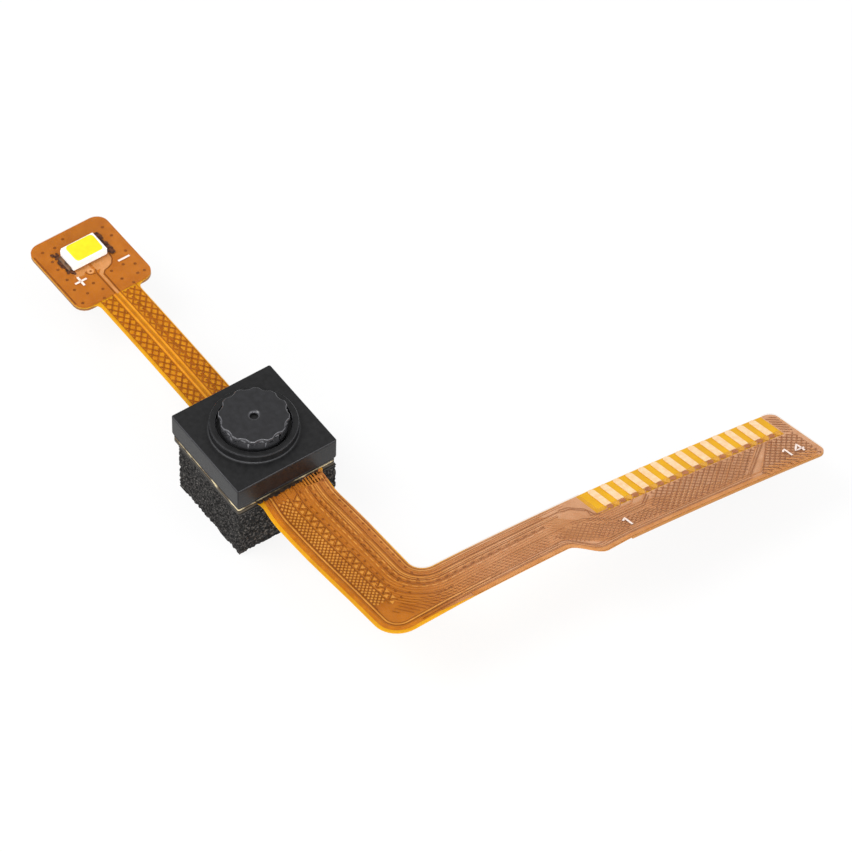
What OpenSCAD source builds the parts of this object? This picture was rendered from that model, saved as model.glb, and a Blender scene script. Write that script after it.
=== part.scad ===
// Fixed-lens camera module on an L-shaped flexible circuit: a threaded lens in a
// square holder over a foam pad, a white LED on a paddle at one end of the film,
// and a row of gold contacts along the edge at the other end.
//
// Axes: +X runs from the LED towards the corner of the film, +Y along the contact
// arm, +Z up. The origin is on the lens axis, on the underside of the foam pad.
//
// The film is drawn flat, as (u, v) in its pattern, and form() bends it: it drops
// where it leaves the holder, rises to the corner, and the arm rolls and droops.

/* [Lens holder] */
// Side of the square holder
holder_side = 8.5; // [7.8:0.1:10]
// Height of the holder's side wall
holder_h = 2.2; // [2.1:0.05:3]
// Height of the set-back skirt at the foot of the wall
skirt_h = 0.35; // [0.2:0.05:0.8]
// How far the skirt is set back from the wall
skirt_inset = 0.1; // [0.05:0.01:0.2]
// Radius of the holder's upright corners
holder_corner_r = 0.15; // [0.05:0.05:0.4]
// Outer diameter of the raised collar
collar_d = 6.45; // [6.2:0.05:7.2]
// Width of the collar's flat rim
collar_rim = 0.48; // [0.3:0.02:0.6]
// Height of the collar above the holder's top face
collar_h = 0.7; // [0.4:0.05:1]
// Width and height of the small slope round the collar's foot
collar_foot = 0.07; // [0.06:0.01:0.12]
// Bevel on the collar's and the holder's outer top edges
holder_bevel = 0.06; // [0.02:0.01:0.1]
// Depth of the counterbore below the collar's rim
counterbore_depth = 0.6; // [0.4:0.05:0.7]
// Side of the square sensor cavity under the holder
cavity_side = 6.8; // [6.4:0.1:7]
// Depth of the sensor cavity
cavity_h = 0.85; // [0.8:0.05:0.9]
// Side of the window between the filter seat and the lens bore
window_side = 4.2; // [3.8:0.1:4.6]

/* [Lens] */
// Gap between the lens's grip and the collar
grip_gap = 0.2; // [0.12:0.01:0.24]
// How far the plain neck is set back under the grip
neck_step = 0.11; // [0.03:0.01:0.14]
// How far the threaded part is set back under the neck
thread_step = 0.1; // [0.05:0.01:0.15]
// Thickness of the barrel's wall at the thread
barrel_wall = 0.6; // [0.4:0.05:0.8]
// Height of the threaded part
thread_len = 1.0; // [0.7:0.05:1.1]
// Radial play between the thread and the holder's bore
thread_play = 0.03; // [0.02:0.01:0.06]
// Height of the scalloped grip
grip_h = 0.36; // [0.2:0.02:0.4]
// How far the lens stands above the collar
lens_rise = 0.8; // [0.6:0.05:0.9]
// Number of scallops round the grip
scallop_count = 12; // [8:1:16]
// Radius of the cutter that makes each scallop
scallop_r = 0.75; // [0.5:0.05:1]
// Depth of each scallop
scallop_depth = 0.18; // [0.1:0.02:0.25]
// Direction of the first lobe of the grip, in degrees
scallop_phase = -7; // [-15:1:15]
// Diameter of the pinhole in the front wall
pinhole_d = 0.6; // [0.4:0.05:0.9]
// Diameter of the shallow dish round the pinhole
dish_d = 1.2; // [1:0.05:1.6]
// Depth of the dish
dish_depth = 0.12; // [0.06:0.02:0.2]
// Thickness of the barrel's front wall
front_wall = 0.35; // [0.25:0.05:0.45]
// Thickness of the front element
front_lens_t = 0.46; // [0.35:0.01:0.48]
// Thickness of the middle element
middle_lens_t = 0.38; // [0.3:0.01:0.4]
// Thickness of the rear element
rear_lens_t = 0.4; // [0.3:0.01:0.42]
// Thickness of the stop between the first two elements
stop_t = 0.05; // [0.04:0.01:0.08]
// Diameter of the hole in the stop
stop_hole_d = 0.9; // [0.7:0.05:1.4]
// Thickness of the spacer ring
spacer_t = 0.12; // [0.08:0.01:0.15]
// Thickness of the retainer ring
retainer_t = 0.2; // [0.12:0.02:0.22]
// Width of the spacer and retainer rings
ring_w = 0.45; // [0.3:0.05:0.6]
// Gap left round and between the elements
glass_gap = 0.01; // [0.01:0.005:0.02]

/* [Sensor] */
// Length of the image sensor along X
sensor_l = 5.2; // [4.6:0.1:5.6]
// Width of the image sensor along Y
sensor_w = 4.6; // [4:0.1:4.8]
// Thickness of the sensor package
sensor_t = 0.42; // [0.3:0.02:0.44]
// Thickness of the sensor's cover glass
cover_glass_t = 0.2; // [0.15:0.01:0.22]
// Height of the solder balls
ball_h = 0.12; // [0.08:0.01:0.14]
// Diameter of the solder balls
ball_d = 0.24; // [0.18:0.02:0.3]
// Solder balls along the sensor
balls_long = 8; // [5:1:10]
// Solder balls across the sensor
balls_wide = 6; // [4:1:8]
// Thickness of the infrared filter
filter_t = 0.21; // [0.15:0.01:0.25]
// Side of the infrared filter
filter_side = 4.9; // [4.8:0.1:5.2]
// Play round the filter in its seat
filter_play = 0.05; // [0.02:0.01:0.08]
// Length of a chip capacitor
cap_l = 0.6; // [0.5:0.05:0.8]
// Width and height of a chip capacitor
cap_w = 0.3; // [0.2:0.05:0.35]
// Number of capacitors on each side of the sensor
caps_a_side = 3; // [1:1:4]

/* [Layers] */
// Height of the foam pad
foam_h = 4.4; // [3:0.1:6]
// Length of the foam pad along X
foam_l = 7.7; // [6:0.1:8.2]
// Width of the foam pad along Y
foam_w = 8.35; // [7:0.05:8.4]
// Gap from the foam's +X side to the holder's side
foam_setback = 0; // [0:0.05:0.5]
// Thickness of the tape on the foam
tape_t = 0.08; // [0.05:0.01:0.15]
// Thickness of the rigid plate under the camera
plate_t = 0.25; // [0.2:0.05:0.4]
// Thickness of the base film
base_t = 0.06; // [0.05:0.01:0.1]
// Thickness of the copper
copper_t = 0.035; // [0.02:0.005:0.05]
// Thickness of the cover film
cover_t = 0.05; // [0.03:0.01:0.06]
// Bond line between two layers
bond_t = 0.015; // [0.012:0.001:0.02]
// Thickness of the glue under the holder
glue_t = 0.1; // [0.08:0.01:0.15]
// Width of the glue bead
glue_w = 0.6; // [0.4:0.05:0.7]
// Thickness of the stiffener under the LED paddle
led_stiffener_t = 0.2; // [0.1:0.05:0.3]
// Thickness of the stiffener under the contacts
contact_stiffener_t = 0.12; // [0.08:0.01:0.2]

/* [Film pattern] */
// Distance from the lens axis to the far end of the LED paddle
paddle_end = 25.55; // [24:0.05:28]
// Length of the LED paddle
paddle_l = 7.55; // [6.5:0.05:8]
// Width of the LED paddle
paddle_w = 6.6; // [6:0.1:8]
// Radius of the paddle's corners
paddle_r = 1.0; // [0.6:0.1:1.2]
// Width of the narrow tail between paddle and camera
tail_w = 3.45; // [2.6:0.05:3.8]
// How far the paddle's centre line lies off the lens axis
paddle_shift = 0.2; // [0:0.05:0.3]
// How far the tail's centre line lies off the lens axis
tail_shift = 0.1; // [0:0.02:0.15]
// Width of the film's part under the holder
camera_film_w = 8.2; // [7.4:0.1:8.3]
// Distance from the lens axis to the run's outer edge
run_outer = 2.45; // [2.2:0.05:2.6]
// Distance from the lens axis to the run's inner edge
run_inner = 2.85; // [2.6:0.05:3]
// How much wider the run is on each side where it leaves the holder
run_flare = 0.15; // [0:0.05:0.25]
// Length over which the run narrows beside the holder
run_flare_l = 0.8; // [0.5:0.1:1.2]
// Distance from the lens axis to the arm's contact edge
arm_inner = 16.4; // [14:0.1:20]
// Width of the arm
arm_w = 4.25; // [4.2:0.05:4.6]
// How much wider the arm has grown where its step begins
arm_widening = 0.3; // [0:0.05:0.4]
// Width of the contact end of the arm
contact_w = 6.6; // [6.4:0.1:7.5]
// Distance from the lens axis to the end of the arm
arm_end = 33.8; // [33.7:0.1:36]
// Outer radius of the corner
corner_outer_r = 2.0; // [1.5:0.1:3]
// Inner radius of the corner
corner_inner_r = 1.2; // [0.8:0.1:1.6]
// Place along the arm where it starts to widen
step_start = 12.5; // [11:0.1:13]
// Length over which the arm widens
step_l = 2.0; // [1.8:0.1:3]
// Radius of the corners at the arm's end
arm_end_r = 0.7; // [0.3:0.1:0.8]

/* [Contacts and traces] */
// Number of contacts
contact_count = 14; // [8:1:14]
// Distance between contacts
contact_pitch = 1.1; // [0.9:0.01:1.12]
// Place along the arm of the first contact
contact_first = 17.55; // [17.4:0.05:17.7]
// Width of a contact
contact_finger_w = 0.55; // [0.4:0.01:0.6]
// Length of a contact
contact_finger_l = 2.34; // [1.8:0.02:2.4]
// How far the contacts stand clear of the film's edge line
contact_edge_gap = 0.02; // [0.02:0.01:0.1]
// Width of a signal trace
trace_w = 0.12; // [0.08:0.01:0.14]
// Distance between signal traces
trace_pitch = 0.235; // [0.18:0.005:0.24]
// Length over which the traces move out, where the arm widens
trace_step_l = 3; // [2.6:0.1:3.2]
// Distance from the film's inner edge to the first trace
trace_margin = 0.45; // [0.4:0.01:0.5]
// Width of each of the two LED traces
led_trace_w = 0.28; // [0.15:0.01:0.32]
// Distance between the two LED traces
led_trace_pitch = 0.42; // [0.38:0.01:0.5]
// Width of the ground copper's border line
border_w = 0.16; // [0.1:0.01:0.2]
// Distance from the film's outer edge to the border line
border_margin = 0.42; // [0.38:0.01:0.46]
// Width of each ground strip on the narrow tail
ground_strip_w = 0.85; // [0.5:0.05:0.9]
// Distance from the tail's edge to the ground strip
ground_margin = 0.2; // [0.15:0.01:0.25]

/* [LED] */
// Length of the LED, across the paddle
led_l = 3.0; // [2.6:0.1:3.2]
// Width of the LED, along the paddle
led_w = 2.0; // [1.8:0.1:2.4]
// Height of the LED's housing
led_h = 0.65; // [0.5:0.05:0.9]
// Distance from the lens axis to the LED's centre
led_place = 22.6; // [22:0.1:22.8]
// Sideways offset of the LED's centre
led_offset = 0.1; // [-0.1:0.05:0.2]
// Length of the yellow window
window_l = 2.05; // [1.8:0.05:2.2]
// Width of the yellow window
window_w = 1.54; // [1.3:0.02:1.6]
// Sideways offset of the window in the housing
window_offset = 0.14; // [0:0.02:0.2]
// Depth of the window's cup
cup_depth = 0.45; // [0.3:0.05:0.48]
// Side of the LED's chip
chip_side = 0.6; // [0.4:0.05:0.8]
// Thickness of the LED's chip
chip_t = 0.12; // [0.08:0.01:0.15]
// Thickness of the LED's terminals
terminal_t = 0.1; // [0.08:0.01:0.12]
// Length of the LED's terminals along the paddle
terminal_l = 1.5; // [1.2:0.05:1.6]
// How far the terminals and the solder reach out past the housing
solder_reach = 0.28; // [0.2:0.02:0.3]
// Height of the solder on the housing's ends
solder_h = 0.3; // [0.15:0.05:0.35]

/* [Bends] */
// Length over which the film turns down beside the holder
dip_in = 0.6; // [0.4:0.05:0.8]
// Angle of the film below level beside the holder
dip_angle = 18.5; // [10:0.5:30]
// Length of the straight slope beside the holder
dip_slope_l = 0.55; // [0.3:0.05:0.8]
// Length over which the film turns up again
dip_out = 1.4; // [1:0.1:2.4]
// Angle at which the run climbs after the dip
run_climb = 6; // [3:0.5:12]
// Angle at which the run reaches the corner
corner_climb = 8.5; // [4:0.5:12]
// Angle at which the middle of the run is rolled, inner edge up
run_roll = 5.5; // [0:0.5:8]
// Angle at which the contact end is rolled, outer edge up
arm_roll = 17.2; // [10:0.2:20]
// Angle at which the end of the arm droops
arm_droop = 7.5; // [0:0.5:9]
// Angle at which the arm is turned out of square
arm_splay = 0.55; // [0:0.05:2]
// Angle at which the LED paddle droops
paddle_droop = 2.2; // [0:0.1:4]
// Angle at which the LED paddle is rolled
paddle_roll = 0.7; // [0:0.1:5]

/* [Hidden] */
$fn = 96;

// Facets of small rounds, and of each quarter turn of the film's outline
small_fn = 24;
arc_n = 5;
// A cut runs this far past the face that it opens
past = 0.1;

// Colours
film_amber = "#e0930f";
film_brown = "#b96a22";
copper_colour = "#c98348";
gold_pale = "#ecd9b4";
film_yellow = "#f0b400";
black_plastic = "#38393b";
glass_colour = "#cfe3ea";

// Heights of the stack, from the floor up
tape_z = foam_h;
plate_z = tape_z + tape_t;
film_z = plate_z + plate_t;
// Heights above the film's underside
copper_low = base_t + bond_t;
copper_high = copper_low + copper_t;
cover_low = copper_high + bond_t;
cover_high = cover_low + cover_t;
glue_z = film_z + cover_low;
holder_z = glue_z + glue_t;
holder_top = holder_z + holder_h;
collar_top = holder_top + collar_h;
lens_top = collar_top + lens_rise;
barrel_z = collar_top - counterbore_depth - thread_len;
filter_z = holder_z + cavity_h;
filter_seat_h = filter_t + filter_play;
sensor_z = film_z + base_t + ball_h;

// The film's edges in its flat pattern
edge = holder_side / 2;
skirt_side = holder_side - 2 * skirt_inset;
paddle_start = -paddle_end + paddle_l;
neck_r = (paddle_w - tail_w) / 2 - paddle_r;
arm_outer = arm_inner + arm_w;
contact_outer = arm_inner + contact_w;
tail_l = -paddle_start - edge;
camera_half = camera_film_w / 2;
// The film widens under the holder over this length
camera_ease = 0.1;
// The cover films stop this far outside the glue
cover_start = skirt_side / 2 + 0.05;
// The stations fan out over this length before and after the corner
fan_reach = 3;
corner_start = arm_inner - corner_inner_r;
fan_start = corner_start - fan_reach;
fan_end = run_inner + corner_inner_r + fan_reach;
// The opening in the cover film over the contacts
opening_margin = 0.95;
opening_start = contact_first - opening_margin;
opening_end = contact_first + (contact_count - 1) * contact_pitch + opening_margin;
opening_root = arm_inner + contact_edge_gap + contact_finger_l;
// Gap from the contacts' roots to the first trace that passes them
trace_clear = 0.4;
// How far the traces move out to pass the contacts
trace_shift = contact_finger_l + contact_edge_gap + trace_clear - trace_margin;
// Points nearer than this to a bend of a trace are left out
corner_turn = 0.3;
// The copper under the holder starts this far from the sensor's edge
copper_start = 0.2;
// Steps of the traces round the corner
trace_arc_n = 8;
// Steps of each fan of stations, and of the arm's step
fan_n = 6;
step_n = 12;

// The lens's diameters, from the hole in the collar inwards
collar_hole_d = collar_d - 2 * collar_rim;
grip_d = collar_hole_d - 2 * grip_gap;
neck_d = grip_d - 2 * neck_step;
thread_d = neck_d - 2 * thread_step;
element_d = thread_d - 2 * barrel_wall;
// Free height under the barrel, for focusing
focus_room = 0.15;
// The elements hang in the barrel under its front wall, each below the one before
cell_top = lens_top - front_wall;
cell_r = element_d / 2 + glass_gap;
front_lens_z = cell_top - glass_gap - front_lens_t;
stop_z = front_lens_z - glass_gap - stop_t;
middle_lens_z = stop_z - glass_gap - middle_lens_t;
spacer_z = middle_lens_z - glass_gap - spacer_t;
rear_lens_z = spacer_z - glass_gap - rear_lens_t;
retainer_z = rear_lens_z - glass_gap - retainer_t;
// Share of an element's radius that is curved, and the steps along that curve
clear_share = 0.7;
curve_steps = 8;
// Sags of the elements' faces: lower face, upper face
front_sags = [0.12, 0.05];
middle_sags = [0.06, 0.12];
rear_sags = [0.14, 0.06];

// Heights of the LED's parts above the film's underside
terminal_low = copper_high + bond_t;
led_low = terminal_low + terminal_t;
cup_low = led_low + led_h - cup_depth;
// Side of the notch that marks one corner of the LED
led_notch = 0.3;
// How far the phosphor's surface lies below the housing's top
phosphor_drop = 0.03;
// Length of the terminals under the housing
terminal_inside = 0.5;
// Shoulder of the solder fillet, as shares of its reach and of its height
fillet_shoulder = [0.35, 0.45];

// ---- How the flat film is bent ----

// Slope of the film along the run, at each place where it changes
run_bends = [
    [paddle_start, paddle_droop], [-edge, 0], [edge, 0],
    [edge + dip_in, -dip_angle],
    [edge + dip_in + dip_slope_l, -dip_angle],
    [edge + dip_in + dip_slope_l + dip_out, run_climb],
    [arm_inner, corner_climb],
];
run_rolls = [[paddle_start, paddle_roll], [-edge, 0], [edge, 0],
    [(edge + corner_start) / 2, run_roll], [corner_start, 0]];
arm_rolls = [[run_inner, corner_climb], [opening_start, arm_roll]];
// Share of the arm's droop that it already has at the corner
droop_share = 0.3;
arm_droops = [[run_inner, 0], [run_inner + corner_inner_r, -arm_droop * droop_share],
    [arm_end, -arm_droop]];
arm_splays = [[run_inner, 0], [fan_end, arm_splay]];

function turn_x(p, a) = [p.x, p.y * cos(a) - p.z * sin(a), p.y * sin(a) + p.z * cos(a)];
function turn_y(p, a) = [p.x * cos(a) + p.z * sin(a), p.y, -p.x * sin(a) + p.z * cos(a)];
function turn_z(p, a) = [p.x * cos(a) - p.y * sin(a), p.x * sin(a) + p.y * cos(a), p.z];
// Turns a point as rotate(r) does
function turn(p, r) = turn_z(turn_y(turn_x(p, r.x), r.y), r.z);

function run_turn(u) = [lookup(u, run_rolls), -lookup(u, run_bends), 0];
function arm_turn(v) = [lookup(v, arm_droops), -lookup(v, arm_rolls), -lookup(v, arm_splays)];

// The bent centre lines, as points one bend_step apart
bend_step = 0.1;
function walk(steps, start, heading) =
    [for (i = 0, p = start; i <= steps; p = p + bend_step * heading(i + 0.5), i = i + 1) p];
function point_along(line, length) =
    let (k = length / bend_step, i = min(floor(k), len(line) - 2), t = k - i)
    line[i] * (1 - t) + line[i + 1] * t;

run_line = walk(ceil((contact_outer + 1) / bend_step), [0, 0, film_z],
    function (i) turn([1, 0, 0], run_turn(i * bend_step)));
tail_line = walk(ceil((paddle_end + 1) / bend_step), [0, 0, film_z],
    function (i) turn([-1, 0, 0], run_turn(-i * bend_step)));
function run_origin(u) = u < 0 ? point_along(tail_line, -u) : point_along(run_line, u);

arm_line = walk(ceil((arm_end - run_inner + 1) / bend_step), run_origin(arm_inner) + [0, run_inner, 0],
    function (i) turn([0, 1, 0], arm_turn(run_inner + i * bend_step)));
function arm_origin(v) = point_along(arm_line, v - run_inner);

// The place in space of the flat point (u, v), at height h above the film's underside.
// The arm begins past the run's inner edge, on the far side of the holder.
function form(u, v, h) =
    v > run_inner && u > edge
        ? arm_origin(v) + turn([u - arm_inner, 0, h], arm_turn(v))
        : run_origin(u) + turn([0, v, h], run_turn(u));

// Sets a child, drawn about a flat point, in its bent place
module on_run(u, v, h) {
    translate(run_origin(u)) rotate(run_turn(u)) translate([0, v, h]) children();
}
module on_arm(u, v, h) {
    translate(arm_origin(v)) rotate(arm_turn(v)) translate([u - arm_inner, 0, h]) children();
}

// ---- Sheets ----

// A station is a pair of flat points, on the outer and on the inner edge. A sheet is
// a solid between two heights, over all stations and the given shares of the width.
// A hole is [first station, last station, column].
function in_sheet(i, j, rows, columns, holes) =
    i >= 0 && i < rows && j >= 0 && j < columns
    && len([for (h = holes) if (i >= h[0] && i < h[1] && j == h[2]) h]) == 0;

function quad(a, b, c, d) = [[a, b, c], [a, c, d]];

module sheet(stations, shares, low, high, holes = []) {
    rows = len(stations) - 1;
    columns = len(shares) - 1;
    points = [for (s = stations) for (t = shares) for (h = [low, high])
        let (p = s[0] * (1 - t) + s[1] * t) form(p.x, p.y, h)];
    function low_at(i, j) = 2 * (i * len(shares) + j);
    function high_at(i, j) = low_at(i, j) + 1;
    function solid_at(i, j) = in_sheet(i, j, rows, columns, holes);
    faces = [for (i = [0 : rows - 1]) for (j = [0 : columns - 1]) if (solid_at(i, j)) each concat(
        quad(high_at(i, j), high_at(i, j + 1), high_at(i + 1, j + 1), high_at(i + 1, j)),
        quad(low_at(i, j), low_at(i + 1, j), low_at(i + 1, j + 1), low_at(i, j + 1)),
        solid_at(i, j - 1) ? []
            : quad(high_at(i, j), high_at(i + 1, j), low_at(i + 1, j), low_at(i, j)),
        solid_at(i, j + 1) ? []
            : quad(high_at(i + 1, j + 1), high_at(i, j + 1), low_at(i, j + 1), low_at(i + 1, j + 1)),
        solid_at(i - 1, j) ? []
            : quad(high_at(i, j + 1), high_at(i, j), low_at(i, j), low_at(i, j + 1)),
        solid_at(i + 1, j) ? []
            : quad(high_at(i + 1, j), high_at(i + 1, j + 1), low_at(i + 1, j + 1), low_at(i + 1, j))
    )];
    polyhedron(points, faces, convexity = 10);
}

// Numbers evenly spread from a to b
function spread(a, b, n) = [for (i = [0 : n]) a + (b - a) * i / n];
// Stations straight across the run, and straight across the arm
function across_run(u, low_v, high_v) = [[u, low_v], [u, high_v]];
function across_arm(v, outer_u, inner_u) = [[outer_u, v], [inner_u, v]];

// A station of the paddle or the tail: its half width, and its centre line's offset
function across_tail(u, half, shift) = across_run(u, shift - half, shift + half);

// The paddle from its far end to the tail, with rounded corners
paddle_stations = concat(
    [for (a = spread(0, 90, arc_n))
        let (half = paddle_w / 2 - paddle_r + paddle_r * sin(a))
        across_tail(-paddle_end + paddle_r * (1 - cos(a)), half, paddle_shift)],
    [for (u = [-led_place - terminal_l / 2, -led_place + terminal_l / 2])
        across_tail(u, paddle_w / 2, paddle_shift)],
    [for (a = spread(0, 90, arc_n))
        let (half = paddle_w / 2 - paddle_r + paddle_r * cos(a))
        across_tail(paddle_start - paddle_r + paddle_r * sin(a), half, paddle_shift)]
);
neck_stations = [for (a = [90 / arc_n : 90 / arc_n : 90])
    across_tail(paddle_start + neck_r * (1 - cos(a)), tail_w / 2 + neck_r * (1 - sin(a)),
        tail_shift + (paddle_shift - tail_shift) * (1 - sin(a)))];
function tail_stations(last) = [for (u = spread(paddle_start + neck_r, last, 6))
    if (u > paddle_start + neck_r) across_tail(u, tail_w / 2, tail_shift)];

// The run from the holder to the corner: close together over the dip
dip_l = dip_in + dip_slope_l + dip_out;
function run_places(first) = concat(
    [first, edge],
    [for (u = spread(edge, edge + dip_l, 9)) if (u > edge) u],
    [for (u = spread(edge + dip_l, fan_start, 3)) if (u > edge + dip_l) u]
);
function flare_at(u) = run_flare * pow(1 - min(max((u - edge) / run_flare_l, 0), 1), 2);
function run_stations(first) = [for (u = run_places(first))
    across_run(u, -run_outer - flare_at(u), run_inner + flare_at(u))];

// The corner: the stations fan out towards it, turn with it and close up again
corner_stations = concat(
    [for (i = [1 : fan_n - 1])
        let (t = i / fan_n)
        [[fan_start + (arm_outer - corner_outer_r - fan_start) * t, -run_outer],
         [fan_start + (arm_inner - corner_inner_r - fan_start) * t, run_inner]]],
    [for (a = spread(0, 90, 2 * arc_n))
        [[arm_outer - corner_outer_r * (1 - sin(a)), -run_outer + corner_outer_r * (1 - cos(a))],
         [arm_inner - corner_inner_r * (1 - sin(a)), run_inner + corner_inner_r * (1 - cos(a))]]],
    [for (i = [1 : fan_n])
        let (t = i / fan_n, outer_v = (corner_outer_r - run_outer) * (1 - t) + fan_end * t)
        [[arm_edge(outer_v), outer_v],
         [arm_inner, (run_inner + corner_inner_r) * (1 - t) + fan_end * t]]]
);

// Share done at v of a smooth double curve
function eased(v, start, length) =
    let (t = min(max((v - start) / length, 0), 1))
    (1 - cos(180 * t)) / 2;
// The arm's outer edge steps out, the traces move out with it over a greater length,
// and the arm also grows a little wider from the corner to that step
function widening_share(v) = min(max((v - run_inner) / (step_start - run_inner), 0), 1);
function arm_edge(v) =
    let (outer = arm_outer + arm_widening * widening_share(v))
    outer + (contact_outer - outer) * eased(v, step_start, step_l);
step_end = step_start + max(step_l, trace_step_l);
arm_places = concat(
    [for (v = spread(fan_end, step_start, 5)) if (v > fan_end) v],
    [for (v = spread(step_start, step_end, step_n)) if (v > step_start) v],
    [(step_end + opening_start) / 2]
);
contact_places = concat(
    spread(opening_start, opening_end, 9),
    [arm_end - arm_end_r]
);
arm_stations = [for (v = arm_places) across_arm(v, arm_edge(v), arm_inner)];
contact_stations = concat(
    [for (v = contact_places) across_arm(v, contact_outer, arm_inner)],
    [for (a = [90 / arc_n : 90 / arc_n : 90])
        across_arm(arm_end - arm_end_r * (1 - sin(a)),
            contact_outer - arm_end_r * (1 - cos(a)), arm_inner + arm_end_r * (1 - cos(a)))]
);

camera_stations = [
    across_tail(-camera_half, tail_w / 2, tail_shift),
    across_run(-camera_half + camera_ease, -camera_half, camera_half),
    across_run(camera_half - camera_ease, -camera_half, camera_half),
];

// Share of the contact end's width that the cover film still covers
opening_share = (contact_outer - opening_root) / contact_w;
film_shares = [0, opening_share / 2, opening_share, 1];

// ---- Foam and plates ----

module foam_pad() {
    color("#26272a")
        translate([edge - foam_setback - foam_l, -foam_w / 2, 0])
            cube([foam_l, foam_w, foam_h]);
}

module foam_tape() {
    color("#d8d2c4")
        translate([edge - foam_setback - foam_l, -foam_w / 2, tape_z])
            cube([foam_l, foam_w, tape_t]);
}

module camera_plate() {
    color("#c9b98a")
        translate([0, 0, plate_z])
            linear_extrude(plate_t) rounded_square(skirt_side, holder_corner_r);
}

module rounded_square(side, r) {
    for (a = [0, 90])
        rotate(a) square([side, side - 2 * r], center = true);
    for (x = [-1, 1])
        for (y = [-1, 1])
            translate([x, y] * (side / 2 - r)) circle(r, $fn = small_fn);
}

// ---- Film ----

module base_film() {
    color(film_amber) sheet(
        concat(paddle_stations, neck_stations, tail_stations(-edge), camera_stations,
            run_stations(camera_half), corner_stations, arm_stations, contact_stations),
        film_shares, 0, base_t);
}

module tail_cover_film() {
    pad_near = led_l / 2 - terminal_inside - bond_t;
    pad_far = led_l / 2 + solder_reach;
    pads = [for (d = [-pad_far, -pad_near, pad_near, pad_far]) led_offset - paddle_shift + d];
    shares = concat(0, [for (d = pads) d / paddle_w + 0.5], 1);
    led_row = arc_n + 1;
    color(film_brown) sheet(
        concat(paddle_stations, neck_stations, tail_stations(-cover_start)),
        shares, cover_low, cover_high,
        [[led_row, led_row + 1, 1], [led_row, led_row + 1, 3]]);
}

module arm_cover_film() {
    stations = concat(run_stations(cover_start), corner_stations, arm_stations, contact_stations);
    first = len(stations) - len(contact_stations);
    last = first + len(contact_places) - 2;
    color(film_brown) sheet(stations, film_shares, cover_low, cover_high, [[first, last, 2]]);
}

module contact_stiffener() {
    color(film_yellow) sheet(contact_stations, [0, 1], -bond_t - contact_stiffener_t, -bond_t);
}

module led_stiffener() {
    color("#8a5a20") sheet(paddle_stations, [0, 1], -bond_t - led_stiffener_t, -bond_t);
}

// ---- Copper ----

// Stations along a path of flat points, for a line of width w
function line_stations(path, w) = [for (i = [0 : len(path) - 1])
    let (d = path[min(i + 1, len(path) - 1)] - path[max(i - 1, 0)],
         n = [-d.y, d.x] / norm(d) * w / 2)
    [path[i] - n, path[i] + n]];

// Places of a line's points in the fans, before and after the corner
function before_corner(last) = [for (u = spread(fan_start, last, fan_n)) if (u > fan_start && u < last) u];
function after_corner(first) = [for (v = spread(first, fan_end, fan_n)) if (v > first) v];

// The path of a line that keeps one distance from the film's inner edge as far as
// the contact end, which it enters shifted outwards by the given amount
function inner_path(distance, shift, last) = concat(
    [for (u = concat(run_places(sensor_l / 2 + copper_start), before_corner(corner_start)))
        [u, run_inner - distance]],
    [for (a = spread(0, 90, trace_arc_n))
        [arm_inner - corner_inner_r + (corner_inner_r + distance) * sin(a),
         run_inner + corner_inner_r - (corner_inner_r + distance) * cos(a)]],
    [for (v = concat(after_corner(run_inner + corner_inner_r), arm_places))
        [arm_inner + distance + shift * eased(v, step_start, trace_step_l), v]],
    [for (v = contact_places) if (v < last - corner_turn) [arm_inner + distance + shift, v]]
);

function contact_v(k) = contact_first + k * contact_pitch;
function trace_distance(k) = trace_margin + k * trace_pitch;
function trace_path(k) =
    let (u = arm_inner + trace_distance(k) + trace_shift,
         bend_v = contact_v(k) - (u - opening_root))
    concat(
        inner_path(trace_distance(k), trace_shift, bend_v),
        [[u, bend_v], [opening_root, contact_v(k)]]);

module signal_traces() {
    color(copper_colour)
        for (k = [0 : contact_count - 1])
            sheet(line_stations(trace_path(k), trace_w), [0, 1], copper_low, copper_high);
}

module contact_fingers() {
    tip = contact_finger_w / 2;
    color(gold_pale)
        for (k = [0 : contact_count - 1])
            on_arm(arm_inner + contact_edge_gap, contact_v(k), copper_low)
                linear_extrude(copper_t) {
                    translate([tip, 0]) circle(tip, $fn = small_fn);
                    translate([tip, -tip])
                        square([contact_finger_l - tip - bond_t, contact_finger_w]);
                }
}

// The two traces that feed the LED: one to each terminal
led_trace_centre = led_offset;
function led_trace_path(side) =
    let (v = led_trace_centre + side * led_trace_pitch / 2,
         pad_v = led_offset + side * (led_l / 2 + solder_reach / 2),
         bend_u = -led_place + led_w / 2 + 2 * led_trace_w)
    concat(
        [[-led_place + terminal_l / 2, pad_v], [bend_u, pad_v], [bend_u + led_trace_w, v]],
        [for (u = spread(paddle_start, -edge, 6)) [u, v]],
        [[-sensor_l / 2 - copper_start, v]]);

module led_traces() {
    color(copper_colour)
        for (side = [-1, 1]) {
            sheet(line_stations(led_trace_path(side), led_trace_w), [0, 1],
                copper_low, copper_high);
            on_run(-led_place, led_offset, copper_low)
                rotate(side * 90)
                    translate([led_l / 2 - terminal_inside, -terminal_l / 2 + bond_t, 0])
                        cube([terminal_inside + solder_reach, terminal_l - 2 * bond_t, copper_t]);
        }
}

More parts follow.
